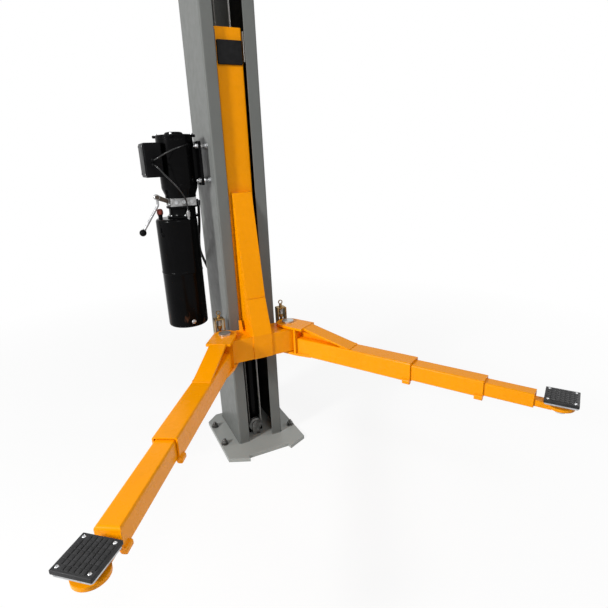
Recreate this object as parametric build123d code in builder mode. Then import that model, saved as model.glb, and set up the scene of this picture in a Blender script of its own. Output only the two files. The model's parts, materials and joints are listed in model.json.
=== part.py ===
from build123d import *
from math import cos, radians, sin, tan
import os

os.makedirs("parts", exist_ok=True)

# One powered column of a two post car lift. Millimetres, +Z up, the open side of the
# column faces -Y and the power unit stands on the -X side. The origin is in the middle of
# the column's width, on the underside of the base plate. The carriage stands part way up
# and both arms are swung out and drawn out as in use.

# Fits and gaps
FIT = 0.1            # radial running clearance of pins, rods and bores
SEAT = 0.3           # gap between pieces of two bodies that bear on each other
RUN = 5.0            # clear space round a moving piece

# Base plate
BASE_T = 20.0
BASE_HALF_W = 220.0
BASE_BACK = 212.0        # Y of the back edge
BASE_CORNER_Y = -259.0   # Y of the outer front corners
EAR_X = 117.0            # half distance between the two front ears
EAR_Y = -308.0
NOTCH_DEPTH = 28.0       # recess between the ears
BASE_BACK_CUT = 62.0     # cut of the back corners

# Column
POST_W = 250.0
POST_FRONT = -160.0      # Y of the lips' front face
POST_D = 346.0
POST_T = 6.0
POST_H = 3400.0
POST_BEND_R = 9.0
LIP_W = 57.0
TOP_T = 12.0
TOP_OVERHANG = 22.0
TOP_HOLE_R = 9.0
TOP_HOLE_INSET = 14.0

# Anchor bolts
ANCHOR_X = 198.0
ANCHOR_FRONT_Y = -115.0
ANCHOR_BACK_Y = 80.0
ANCHOR_R = 9.0
ANCHOR_NUT_AF = 28.0
ANCHOR_NUT_H = 15.0
ANCHOR_WASHER_R = 21.0
ANCHOR_WASHER_T = 4.0
ANCHOR_STICK = 12.0      # thread above the nut
ANCHOR_LIFT = 0.5        # the stud ends just above the floor

# Carriage
CAR_HALF_W = 62.0
CAR_T = 8.0
CAR_FRONT = -138.0       # Y of the front face
CAR_BACK_GAP = 36.0      # from the carriage's back edges to the column's back
CAR_BOTTOM = 570.0
CAR_H = 1494.0
BLOCK_H = 120.0
BLOCK_INSET = 16.0
BLOCK_FRONT_LEN = 52.0
BLOCK_BACK_LEN = 44.0
GUARD_HALF_W = 56.0
GUARD_DROP = 52.0        # from the carriage's top down to the guard
GUARD_H = 96.0
GUARD_T = 12.0

# Gusset in front of the carriage, from its blunt top down to the crossbeam
GUSSET_HALF_W = 48.0
GUSSET_PLATE = 8.0
GUSSET_H = 795.0         # heights above the carriage's bottom edge
GUSSET_TOP_OUT = 24.0    # how far the blunt top stands out from the carriage
GUSSET_KNEE_H = 295.0
GUSSET_KNEE_OUT = 110.0
GUSSET_FOOT_H = 120.0

# Crossbeam that carries the arms
BEAM_FRONT = -303.0
BEAM_H = 116.0
BEAM_WALL = 10.0
GUSSET_LAP = 5.0         # gusset front stands this far in front of the beam

# Arm pivots
PIVOT_X = 169.0
PIVOT_R = 19.0
PIVOT_HEAD_R = 30.0
PIVOT_HEAD_H = 9.0
BEAM_END_R = 51.0
FORK_T = 12.0
FORK_GAP = RUN
FORK_HALF_W = 58.0
FORK_LEN = 124.0
LOW_PLATE_LEN = 164.0    # the lower fork plate runs on under the tube and tapers
WEB_T = 10.0
RAMP_LEN = 262.0         # slanted top plate, from the fork down to the tube
RAMP_HALF_W = 39.0
RAMP_T = 9.0
RIB_T = 10.0

# Arm tubes, widest first
TUBE_OUTER = 90.0
TUBE_MIDDLE = 74.0
TUBE_INNER = 58.0
TUBE_T = 6.0
TUBE_R = 7.0

# Left arm, two tubes. Lengths are measured from the pivot.
LEFT_SWING = 32.0        # degrees out from straight ahead
LEFT_OUTER_END = 781.0
LEFT_INNER_START = 523.0
LEFT_PAD_AT = 1252.0
LEFT_PAD_TURN = -8.9     # degrees, the pad against its arm

# Right arm, three tubes
RIGHT_SWING = 29.2
RIGHT_OUTER_END = 690.0
RIGHT_MIDDLE_START = 470.0
RIGHT_MIDDLE_END = 996.0
RIGHT_INNER_START = 700.0
RIGHT_PAD_AT = 1269.0
RIGHT_PAD_TURN = 4.0

# Lifting pads
PAD_SIDE = 116.0
PAD_CORNER_R = 8.0
PAD_RUBBER_T = 15.0
STUD = 12.6              # raised squares of the pads
STUD_PITCH = 15.0
STUD_ROWS = 7
STUD_H = 2.0
PAD_PLATE_T = 6.0
LEFT_PAD_TOP = 642.0
RIGHT_PAD_TOP = 632.0
PAD_STEM_R = 20.0
PAD_BACK_GAP = 89.0      # pad centre to the end of the inner tube
DISC_R = 48.0
DISC_T = 12.0
BAR_H = 25.0             # solid bar under the round plate, resting on the tube's floor
BAR_HALF_W = 24.0
BAR_IN = 90.0            # bar welded inside the tube
BAR_CLEAR = 8.0          # from the bar's end to the pad's screw
STOP_LEN = 32.0          # stop lugs on the inner lower corner of the tube mouths
STOP_W = 22.0
STOP_R = 7.0
STOP_OUT = 9.0
END_T = 12.0             # plate that closes the end of the left inner tube
END_R = 10.0             # rounding of its top edge

# Arm restraints, a sprung gear pin beside each pivot
LUG_X = 68.0             # small welded lugs on the beam, beside the gusset
LUG_H = 52.0
LUG_T = 12.0
LOCK_BACK = 88.0         # pin behind the pivot
LOCK_GEAR_R = 22.0
LOCK_GEAR_T = 14.0
LOCK_PIN_R = 8.0
LOCK_SPRING_R = 13.0
LOCK_SPRING_H = 34.0
LOCK_RING_R = 12.0
LOCK_EAR_HALF_W = 25.0   # ear of the crossbeam under the restraint
LOCK_CHEEK_T = 6.0
LOCK_CHEEK_HALF_D = 19.0

# Hydraulic cylinder and lifting chain
CYL_Y = -40.0
CYL_R = 35.0
CYL_WALL = 7.0
CYL_TOP = 1025.0
CYL_FOOT_H = 22.0
GLAND_R = 38.0
GLAND_H = 28.0
ROD_R = 22.0
ROD_BOTTOM = 300.0
ROD_LEN = 980.0
PISTON_H = 60.0
YOKE_T = 10.0
ROLLER_W = 22.0
ROLLER_RISE = 68.0       # roller's axle above the rod's end
CHAIN_PITCH_R = 50.0
CHAIN_T = 12.0
CHAIN_W = 20.0
CHAIN_FOOT_Z = 120.0
CHAIN_HITCH_H = 50.0     # hitch above the carriage's bottom edge
HITCH_T = 20.0

# Equalising ropes and sheaves
ROPE_R = 4.5
ROPE_Y = -96.0
SHEAVE_R = 34.0          # pitch radius
SHEAVE_RIM_R = 38.0
SHEAVE_W = 16.0
BASE_SHEAVE_X = -7.0
BASE_SHEAVE_Z = 78.0
TOP_SHEAVE_DROP = 52.0   # axle below the top plate
CHEEK_HALF_W = 22.0
AXLE_R = 9.0
CHEEK_T = 5.0

# Power unit
UNIT_Y = -20.0
MOTOR_X = -260.0
TANK_X = -293.0          # the tank hangs off centre, away from the column
TANK_R = 97.0
TANK_TOP = 1262.0
TANK_H = 535.0
SEAM_DOWN = 258.0        # from the tank's top to its seam
SEAM_OUT = 1.5
SEAM_H = 5.0
NECK_R = 71.0
NECK_H = 56.0
BLOCK_HALF = 60.0
BLOCK_H_Z = 37.0
PORT_R = 9.0
PORT_DEPTH = 5.0
PORT_PITCH = 36.0
MOTOR_R = 84.0
MOTOR_H = 267.0
BELL_R = 72.0            # motor's foot, where it meets the valve block
BELL_RIM_H = 14.0
BELL_H = 43.0
END_PLATE_T = 13.0
EAR_REACH = 97.0
EAR_W = 22.0
DOME_R = 52.0
DOME_H = 13.0
DOME_FILLET = 9.0
BOX_X0 = -412.0
BOX_W = 76.0
BOX_D = 150.0
BOX_DROP = 168.0         # from the motor's top down to the box's floor
BOX_H = 148.0
FOOT_T = 12.0            # foot plate between motor and column
FOOT_HALF_W = 84.0
FOOT_GAP = 34.0          # open space between foot plate and column
FOOT_DROP = 214.0        # from the motor's top down to the foot plate's lower edge
FOOT_H = 196.0
FOOT_WEB_HALF = 52.0
FOOT_WEB_T = 10.0
FOOT_WEB_INSET = 26.0
FOOT_BOLT_R = 6.0
FOOT_BOLT_Y = 66.0
FOOT_BOLT_INSET = 22.0
FOOT_BOLT_OUT = 20.0     # how far the studs stand out past the foot plate
LEVER_X = -373.0
LEVER_RISE = 8.0         # lever's pin above the valve block
LEVER_REACH = (-84.0, -157.0)
LEVER_R = 6.0
LEVER_EYE_R = 13.0
LEVER_ARM_T = 14.0
KNOB_R = 16.0
CAP_X = -366.0           # filler cap on the tank's shoulder
CAP_R = 13.0
CAP_H = 46.0

# Pressure hose and the two cables, as routes chosen by hand
HOSE_R = 7.0
HOSE_ROUTE = (
    (-174, 5, 1310),
    (-174, 20, 1225),
    (-170, 88, 1140),
    (-158, 158, 1060),
    (-128, 208, 992),
    (-106, 214, 932),
)
CABLE_R = 3.5
MOTOR_CABLE = (
    (-378, -105, 1528),
    (-378, -145, 1528),
    (-336, -154, 1552),
    (-290, -146, 1571),
    (-254, -124, 1582),
    (-226, -102.6, 1588),
)
VALVE_CABLE = (
    (-378, -105, 1508),
    (-378, -145, 1508),
    (-344, -152, 1464),
    (-304, -146, 1420),
    (-268, -126, 1374),
    (-250, -98, 1334),
    (-250, -98, 1298),
)

# Worked out once from the sizes above
FRONT = POST_FRONT
BACK = POST_FRONT + POST_D
MIDDLE = (FRONT + BACK) / 2
SLOT = POST_W / 2 - LIP_W
POST_TOP = BASE_T + POST_H
PIVOT_Y = (BEAM_FRONT + FRONT - RUN) / 2
CAR_BACK = BACK - CAR_BACK_GAP
CAR_TOP = CAR_BOTTOM + CAR_H
GUARD_Z = CAR_TOP - GUARD_DROP - GUARD_H / 2
GUSSET_TOP = CAR_BOTTOM + GUSSET_H
GUSSET_KNEE_Z = CAR_BOTTOM + GUSSET_KNEE_H
GUSSET_FOOT_Z = CAR_BOTTOM + GUSSET_FOOT_H
CHAIN_HITCH_Z = CAR_BOTTOM + CHAIN_HITCH_H
BEAM_TOP = CAR_BOTTOM + BEAM_H
FORK_LOW = CAR_BOTTOM - FORK_GAP - FORK_T
FORK_TOP = BEAM_TOP + FORK_GAP + FORK_T
TUBE = (TUBE_OUTER, TUBE_MIDDLE, TUBE_INNER)
TUBE_Z = FORK_LOW + TUBE_OUTER / 2
WEB_AT = PIVOT_Y - BEAM_FRONT + RUN    # clears the beam's corner as the arm swings
LEFT_INNER_END = LEFT_PAD_AT - PAD_BACK_GAP
RIGHT_INNER_END = RIGHT_PAD_AT - PAD_BACK_GAP
RETURN_ROPE_X = BASE_SHEAVE_X - SHEAVE_R
DOWN_ROPE_X = BASE_SHEAVE_X + SHEAVE_R
UP_ROPE_X = DOWN_ROPE_X
TOP_SHEAVE_Y = ROPE_Y - SHEAVE_R
TOP_SHEAVE_Z = POST_TOP - TOP_SHEAVE_DROP
ROD_TOP = ROD_BOTTOM + ROD_LEN
ROLLER_Z = ROD_TOP + ROLLER_RISE
TANK_BOTTOM = TANK_TOP - TANK_H
BLOCK_Z0 = TANK_TOP + NECK_H
BLOCK_Z1 = BLOCK_Z0 + BLOCK_H_Z
MOTOR_TOP = BLOCK_Z1 + MOTOR_H
BOX_Z0 = MOTOR_TOP - BOX_DROP
FOOT_Z0 = MOTOR_TOP - FOOT_DROP
LEVER_Z = BLOCK_Z1 + LEVER_RISE


def save(builder, name):
    """Label one finished sub-part and write its STEP file."""
    builder.part.label = name
    export_step(builder.part, f"parts/{name}.step")


def level(z):
    """Horizontal sketch plane at height z."""
    return Plane.XY.offset(z)


def arm_frame(side, swing):
    """Plane of an arm: origin on its pivot, X along the arm, Z up. side is -1 or 1."""
    turn = radians(swing)
    along = Vector(side * sin(turn), -cos(turn), 0)
    return Plane(origin=(side * PIVOT_X, PIVOT_Y, 0), x_dir=along, z_dir=(0, 0, 1))


def upright(frame, across=0.0):
    """Vertical plane through an arm: X along it, Y up, shifted sideways by across."""
    start = frame.origin + frame.y_dir * across
    return Plane(origin=start, x_dir=frame.x_dir, z_dir=-frame.y_dir)


def tube_axis(stage):
    """Height of a tube's axis: each tube rests on the floor of the one around it."""
    floor = TUBE_Z - TUBE[0] / 2
    for inner in range(1, stage + 1):
        floor += TUBE_T + SEAT
    return floor + TUBE[stage] / 2


def mouth(frame, along, stage):
    """Plane square to an arm, at the given distance from its pivot, on a tube's axis."""
    start = frame.origin + frame.x_dir * along + Vector(0, 0, tube_axis(stage))
    return Plane(origin=start, x_dir=frame.y_dir, z_dir=frame.x_dir)


def tube_section(size, wall):
    """Square tube section in the current sketch."""
    RectangleRounded(size, size, TUBE_R)
    if wall < size / 2:
        RectangleRounded(size - 2 * wall, size - 2 * wall, TUBE_R - wall * 0.6, mode=Mode.SUBTRACT)


# Base plate with two ears, anchor holes and a recess for a floor cover
with BuildPart() as base_plate:
    with BuildSketch():
        with BuildLine():
            Polyline(
                (0, EAR_Y + NOTCH_DEPTH),
                (EAR_X - 4, EAR_Y + NOTCH_DEPTH),
                (EAR_X, EAR_Y),
                (BASE_HALF_W, BASE_CORNER_Y),
                (BASE_HALF_W, BASE_BACK - BASE_BACK_CUT),
                (BASE_HALF_W - BASE_BACK_CUT, BASE_BACK),
                (0, BASE_BACK),
                close=True,
            )
        make_face()
        mirror(about=Plane.YZ)
    extrude(amount=BASE_T)
    with Locations(
        [(x, y, BASE_T) for x in (-ANCHOR_X, ANCHOR_X) for y in (ANCHOR_FRONT_Y, ANCHOR_BACK_Y)]
    ):
        Hole(ANCHOR_R + 1)
    chamfer(base_plate.faces().sort_by(Axis.Z)[-1].outer_wire().edges(), 1.5)
save(base_plate, "base_plate")

# Column: folded C-section, open between its two lips
with BuildPart() as column:
    with BuildSketch(level(BASE_T)):
        with Locations((0, MIDDLE)):
            RectangleRounded(POST_W, POST_D, POST_BEND_R)
            RectangleRounded(
                POST_W - 2 * POST_T, POST_D - 2 * POST_T, POST_BEND_R - POST_T, mode=Mode.SUBTRACT
            )
        with Locations((0, FRONT)):
            Rectangle(2 * SLOT, 4 * POST_T, mode=Mode.SUBTRACT)
    extrude(amount=POST_H)
save(column, "column")

# Top plate with bolt holes for the overhead beam and a slot for the ropes
with BuildPart() as top_plate:
    with BuildSketch(level(POST_TOP)):
        with Locations((0, MIDDLE)):
            RectangleRounded(POST_W + 2 * TOP_OVERHANG, POST_D + 2 * TOP_OVERHANG, 12)
            with GridLocations(
                POST_W + 2 * (TOP_OVERHANG - TOP_HOLE_INSET),
                POST_D + 2 * (TOP_OVERHANG - TOP_HOLE_INSET),
                2,
                2,
            ):
                Circle(TOP_HOLE_R, mode=Mode.SUBTRACT)
    extrude(amount=TOP_T)
save(top_plate, "top_plate")

# Anchor bolts: stud, washer and nut at each hole
with BuildPart() as anchor_bolts:
    spots = [(x, y) for x in (-ANCHOR_X, ANCHOR_X) for y in (ANCHOR_FRONT_Y, ANCHOR_BACK_Y)]
    with BuildSketch(level(ANCHOR_LIFT)):
        with Locations(spots):
            Circle(ANCHOR_R)
    extrude(amount=BASE_T + ANCHOR_WASHER_T + ANCHOR_NUT_H + ANCHOR_STICK)
    with BuildSketch(level(BASE_T)):
        with Locations(spots):
            Circle(ANCHOR_WASHER_R)
    extrude(amount=ANCHOR_WASHER_T)
    with BuildSketch(level(BASE_T + ANCHOR_WASHER_T)):
        with Locations(spots):
            RegularPolygon(ANCHOR_NUT_AF / 2, 6, major_radius=False)
    extrude(amount=ANCHOR_NUT_H)
save(anchor_bolts, "anchor_bolts")

# Carriage: deep channel that slides in the column, open to the back
with BuildPart() as carriage:
    with BuildSketch(level(CAR_BOTTOM)):
        with BuildLine():
            Polyline(
                (-CAR_HALF_W, CAR_BACK),
                (-CAR_HALF_W, CAR_FRONT),
                (CAR_HALF_W, CAR_FRONT),
                (CAR_HALF_W, CAR_BACK),
                (CAR_HALF_W - CAR_T, CAR_BACK),
                (CAR_HALF_W - CAR_T, CAR_FRONT + CAR_T),
                (-CAR_HALF_W + CAR_T, CAR_FRONT + CAR_T),
                (-CAR_HALF_W + CAR_T, CAR_BACK),
                close=True,
            )
        make_face()
    extrude(amount=CAR_TOP - CAR_BOTTOM)
    fillet(carriage.edges().filter_by(Axis.Z).group_by(Axis.Y)[0], 6)
    # hitch shelf for the chain and the lower rope, clear of the return rope
    with BuildSketch(level(CHAIN_HITCH_Z - HITCH_T)):
        with BuildLine():
            Polyline(
                (RETURN_ROPE_X + ROPE_R + RUN, CAR_FRONT + CAR_T),
                (CAR_HALF_W - CAR_T, CAR_FRONT + CAR_T),
                (CAR_HALF_W - CAR_T, CYL_Y - GLAND_R - RUN),
                (RETURN_ROPE_X + ROPE_R + RUN, CYL_Y - GLAND_R - RUN),
                close=True,
            )
        make_face()
    extrude(amount=HITCH_T)
save(carriage, "carriage")

# Plate that closes the top of the carriage, notched for the return rope
with BuildPart() as carriage_cap:
    with BuildSketch(level(CAR_TOP - CAR_T)):
        with Locations((0, (CAR_FRONT + CAR_T + CAR_BACK) / 2)):
            Rectangle(2 * (CAR_HALF_W - CAR_T), CAR_BACK - CAR_FRONT - CAR_T)
        with Locations((RETURN_ROPE_X, ROPE_Y)):
            Circle(ROPE_R + RUN, mode=Mode.SUBTRACT)
        with Locations((UP_ROPE_X, ROPE_Y)):
            Circle(ROPE_R, mode=Mode.SUBTRACT)
    extrude(amount=CAR_T)
save(carriage_cap, "carriage_cap")

# Slider blocks between the carriage and the column, at top and bottom
with BuildPart() as slider_blocks:
    reach = POST_W / 2 - POST_T - 0.5 - CAR_HALF_W
    for z in (CAR_BOTTOM + BLOCK_INSET, CAR_TOP - BLOCK_INSET - BLOCK_H):
        with BuildSketch(level(z)):
            for x in (-1, 1):
                middle = x * (CAR_HALF_W + reach / 2)
                with Locations((middle, FRONT + POST_T + 0.5 + BLOCK_FRONT_LEN / 2)):
                    Rectangle(reach, BLOCK_FRONT_LEN)
                with Locations((middle, BACK - POST_T - 0.5 - BLOCK_BACK_LEN / 2)):
                    Rectangle(reach, BLOCK_BACK_LEN)
        extrude(amount=BLOCK_H)
    chamfer(slider_blocks.edges().filter_by(Axis.Z), 2)
save(slider_blocks, "slider_blocks")

# Rubber door guard on the front of the carriage
with BuildPart() as door_guard:
    with BuildSketch(Plane.XZ.offset(-CAR_FRONT)):
        with Locations((0, GUARD_Z)):
            RectangleRounded(2 * GUARD_HALF_W, GUARD_H, 3)
    extrude(amount=GUARD_T)
    fillet(door_guard.faces().sort_by(Axis.Y)[0].edges(), 2)
save(door_guard, "door_guard")

# Gusset: tapered box of two side plates and a bent front plate
with BuildPart() as gusset:
    foot_out = CAR_FRONT - BEAM_FRONT + GUSSET_LAP
    with BuildSketch(Plane.YZ.offset(-GUSSET_HALF_W)):
        with BuildLine():
            Polyline(
                (CAR_FRONT, GUSSET_TOP),
                (CAR_FRONT - GUSSET_TOP_OUT, GUSSET_TOP),
                (CAR_FRONT - GUSSET_KNEE_OUT, GUSSET_KNEE_Z),
                (CAR_FRONT - foot_out, GUSSET_FOOT_Z),
                (CAR_FRONT - foot_out, CAR_BOTTOM),
                (BEAM_FRONT, CAR_BOTTOM),
                (BEAM_FRONT, BEAM_TOP),
                (CAR_FRONT, BEAM_TOP),
                close=True,
            )
        make_face()
    extrude(amount=2 * GUSSET_HALF_W)
    with BuildSketch(Plane.YZ.offset(-GUSSET_HALF_W + GUSSET_PLATE)):
        with BuildLine():
            Polyline(
                (CAR_FRONT, GUSSET_TOP - GUSSET_PLATE * 3),
                (CAR_FRONT - GUSSET_TOP_OUT + GUSSET_PLATE + 4, GUSSET_TOP - GUSSET_PLATE * 3),
                (CAR_FRONT - GUSSET_KNEE_OUT + GUSSET_PLATE + 2, GUSSET_KNEE_Z),
                (CAR_FRONT - foot_out + GUSSET_PLATE + GUSSET_LAP, GUSSET_FOOT_Z),
                (CAR_FRONT - foot_out + GUSSET_PLATE + GUSSET_LAP, BEAM_TOP),
                (CAR_FRONT, BEAM_TOP),
                close=True,
            )
        make_face()
    extrude(amount=2 * (GUSSET_HALF_W - GUSSET_PLATE), mode=Mode.SUBTRACT)
save(gusset, "gusset")

# Crossbeam: box with round ends bored for the pivot pins, and lugs for the restraints
with BuildPart() as crossbeam:
    with BuildSketch(level(CAR_BOTTOM)):
        with Locations((0, (BEAM_FRONT + FRONT - RUN) / 2)):
            Rectangle(2 * PIVOT_X, FRONT - RUN - BEAM_FRONT)
        with Locations((-PIVOT_X, PIVOT_Y), (PIVOT_X, PIVOT_Y)):
            Circle(BEAM_END_R)
        with Locations((0, (FRONT - RUN + CAR_FRONT) / 2)):
            Rectangle(2 * GUSSET_HALF_W, CAR_FRONT - FRONT + RUN)
        for x in (-1, 1):
            with Locations((x * PIVOT_X, PIVOT_Y + (LOCK_BACK + LOCK_CHEEK_HALF_D) / 2)):
                Rectangle(2 * LOCK_EAR_HALF_W, LOCK_BACK + LOCK_CHEEK_HALF_D)
    extrude(amount=BEAM_H)
    with BuildSketch(level(CAR_BOTTOM)):
        with Locations((-PIVOT_X, PIVOT_Y), (PIVOT_X, PIVOT_Y)):
            Circle(PIVOT_R + FIT)
        with Locations(
            (-PIVOT_X, PIVOT_Y + LOCK_BACK), (PIVOT_X, PIVOT_Y + LOCK_BACK)
        ):
            Circle(LOCK_PIN_R + FIT)
    extrude(amount=BEAM_H, mode=Mode.SUBTRACT)
    # hollow between the plates, on each side of the centre block
    with BuildSketch(level(CAR_BOTTOM)):
        for x in (-1, 1):
            inner = GUSSET_HALF_W + BEAM_WALL
            outer = PIVOT_X - PIVOT_R - BEAM_WALL * 2
            with Locations((x * (inner + outer) / 2, PIVOT_Y)):
                Rectangle(outer - inner, FRONT - RUN - BEAM_FRONT - 2 * BEAM_WALL)
    extrude(amount=BEAM_H - BEAM_WALL, mode=Mode.SUBTRACT)
    for x in (-LUG_X, LUG_X):
        with BuildSketch(Plane.YZ.offset(x)):
            with BuildLine():
                Polyline(
                    (FRONT - RUN, BEAM_TOP),
                    (FRONT - RUN, BEAM_TOP + LUG_H),
                    (FRONT - RUN - 12, BEAM_TOP + LUG_H),
                    (FRONT - RUN - 34, BEAM_TOP),
                    close=True,
                )
            make_face()
        extrude(amount=LUG_T / 2, both=True)
save(crossbeam, "crossbeam")

# Pivot pins with their heads and washers
with BuildPart() as pivot_pins:
    pins = [(-PIVOT_X, PIVOT_Y), (PIVOT_X, PIVOT_Y)]
    with BuildSketch(level(FORK_LOW - 8)):
        with Locations(pins):
            Circle(PIVOT_R)
    extrude(amount=FORK_TOP - FORK_LOW + 8 + PIVOT_HEAD_H)
    with BuildSketch(level(FORK_TOP + SEAT)):
        with Locations(pins):
            Circle(PIVOT_HEAD_R)
    extrude(amount=PIVOT_HEAD_H)
    with BuildSketch(level(BEAM_TOP)):
        with Locations(pins):
            Circle(PIVOT_HEAD_R)
    extrude(amount=FORK_GAP - SEAT)
    with BuildSketch(level(FORK_LOW - 8)):
        with Locations(pins):
            Circle(PIVOT_HEAD_R - 4)
    extrude(amount=8 - SEAT)
save(pivot_pins, "pivot_pins")


def restraint(side, name):
    """Sprung gear pin of one arm, drawn lifted clear of the arm's toothed sector."""
    x, y = side * PIVOT_X, PIVOT_Y + LOCK_BACK
    gear_z = FORK_TOP + RUN
    cap_z = gear_z + LOCK_GEAR_T + LOCK_SPRING_H
    with BuildPart() as bracket:
        with BuildSketch(level(BEAM_TOP)):
            with Locations((x, y)):
                with GridLocations(2 * LOCK_EAR_HALF_W - LOCK_CHEEK_T, 0, 2, 1):
                    Rectangle(LOCK_CHEEK_T, 2 * LOCK_CHEEK_HALF_D)
        extrude(amount=cap_z + LOCK_CHEEK_T - BEAM_TOP)
        with BuildSketch(level(cap_z)):
            with Locations((x, y)):
                Rectangle(2 * LOCK_EAR_HALF_W, 2 * LOCK_CHEEK_HALF_D)
                Circle(LOCK_PIN_R + FIT, mode=Mode.SUBTRACT)
        extrude(amount=LOCK_CHEEK_T)
        fillet(bracket.edges().filter_by(Axis.Y).group_by(Axis.Z)[-1], LOCK_CHEEK_T - 1)
    save(bracket, f"restraint_bracket_{name}")
    with BuildPart() as pin:
        with BuildSketch(level(CAR_BOTTOM + 20)):
            with Locations((x, y)):
                Circle(LOCK_PIN_R)
        extrude(amount=cap_z + 24 - CAR_BOTTOM - 20)
        with BuildSketch(level(gear_z)):
            with Locations((x, y)):
                Circle(LOCK_GEAR_R - 9)
        extrude(amount=LOCK_GEAR_T)
        with BuildSketch(Plane(origin=(x, y, cap_z + 24 + LOCK_RING_R - 4), z_dir=(0, 1, 0))):
            Circle(LOCK_RING_R)
            Circle(LOCK_RING_R - 4, mode=Mode.SUBTRACT)
        extrude(amount=2.5, both=True)
    save(pin, f"restraint_pin_{name}")
    with BuildPart() as spring:
        with BuildSketch(level(gear_z + LOCK_GEAR_T + SEAT)):
            with Locations((x, y)):
                Circle(LOCK_SPRING_R)
                Circle(LOCK_PIN_R + 1, mode=Mode.SUBTRACT)
        extrude(amount=LOCK_SPRING_H - 2 * SEAT)
    save(spring, f"restraint_spring_{name}")


restraint(-1, "left")
restraint(1, "right")


def stop_section(side, size):
    """Rounded lug on the inner lower corner of a tube's mouth, in the current sketch."""
    edge = size / 2 + STOP_OUT - STOP_W / 2
    bore = size - 2 * TUBE_T
    with Locations((-side * edge, -edge)):
        RectangleRounded(STOP_W, STOP_W, STOP_R)
    RectangleRounded(bore, bore, TUBE_R - TUBE_T * 0.6, mode=Mode.SUBTRACT)


def arm_outer(side, swing, end, name):
    """First tube of an arm, with the fork that clasps the crossbeam."""
    frame = arm_frame(side, swing)
    tube_top = TUBE_Z + TUBE_OUTER / 2
    tube_start = WEB_AT + WEB_T
    with BuildPart() as arm:
        with BuildSketch(frame.offset(FORK_TOP - FORK_T)):
            Circle(FORK_HALF_W)
            with Locations((FORK_LEN / 2, 0)):
                Rectangle(FORK_LEN, 2 * FORK_HALF_W)
        extrude(amount=FORK_T)
        with BuildSketch(frame.offset(FORK_LOW)):
            Circle(FORK_HALF_W)
            with BuildLine():
                Polyline(
                    (0, FORK_HALF_W),
                    (tube_start, FORK_HALF_W),
                    (LOW_PLATE_LEN, TUBE_OUTER / 2),
                    (LOW_PLATE_LEN, -TUBE_OUTER / 2),
                    (tube_start, -FORK_HALF_W),
                    (0, -FORK_HALF_W),
                    close=True,
                )
            make_face()
        extrude(amount=FORK_T)
        # web between the fork plates, then the tube
        with BuildSketch(frame.offset(FORK_LOW)):
            with Locations((WEB_AT + WEB_T / 2, 0)):
                Rectangle(WEB_T, 2 * FORK_HALF_W)
        extrude(amount=FORK_TOP - FORK_LOW)
        with BuildSketch(mouth(frame, tube_start, 0)):
            tube_section(TUBE_OUTER, TUBE_T)
        extrude(amount=end - tube_start)
        # slanted top plate and the rib beneath it
        with BuildSketch(upright(frame)):
            with BuildLine():
                Polyline(
                    (FORK_LEN, FORK_TOP),
                    (FORK_LEN + RAMP_LEN, tube_top + 2),
                    (FORK_LEN + RAMP_LEN, tube_top - 1),
                    (FORK_LEN + RAMP_LEN - 24, tube_top - 1),
                    (FORK_LEN - 1, FORK_TOP - RAMP_T - 2),
                    close=True,
                )
            make_face()
        extrude(amount=RAMP_HALF_W, both=True)
        with BuildSketch(upright(frame)):
            with BuildLine():
                Polyline(
                    (tube_start - 1, FORK_TOP - RAMP_T),
                    (FORK_LEN - 1, FORK_TOP - RAMP_T),
                    (FORK_LEN + RAMP_LEN - 24, tube_top - 1),
                    (tube_start - 1, tube_top - 1),
                    close=True,
                )
            make_face()
        extrude(amount=RIB_T / 2, both=True)
        with BuildSketch(mouth(frame, end, 0)):
            stop_section(side, TUBE_OUTER)
        extrude(amount=-STOP_LEN)
        with BuildSketch(frame.offset(FORK_LOW)):
            Circle(PIVOT_R + FIT)
        extrude(amount=FORK_TOP - FORK_LOW, mode=Mode.SUBTRACT)
    save(arm, name)


def arm_tube(side, swing, stage, start, end, name, stop=False, closed=False):
    """Sliding tube of an arm, with a stop lug and a closed end where it has them."""
    frame = arm_frame(side, swing)
    half = TUBE[stage] / 2
    axis = tube_axis(stage)
    with BuildPart() as arm:
        with BuildSketch(mouth(frame, start, stage)):
            tube_section(TUBE[stage], TUBE_T)
        extrude(amount=end - start)
        if stop:
            with BuildSketch(mouth(frame, end, stage)):
                stop_section(side, TUBE[stage])
            extrude(amount=-STOP_LEN)
        if closed:
            # plate above the pad's bar, its top edge rounded with the tube's
            with BuildSketch(mouth(frame, end, stage)):
                with Locations((0, (TUBE_T / 2 + BAR_H) / 2)):
                    Rectangle(2 * half - TUBE_T, 2 * half - TUBE_T * 1.5 - BAR_H)
            extrude(amount=-END_T)
            with BuildSketch(upright(frame)):
                with Locations((end - END_R / 2, axis + half - END_R / 2)):
                    Rectangle(END_R, END_R)
                with Locations((end - END_R, axis + half - END_R)):
                    Circle(END_R, mode=Mode.SUBTRACT)
            extrude(amount=half + 1, both=True, mode=Mode.SUBTRACT)
    save(arm, name)


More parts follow.
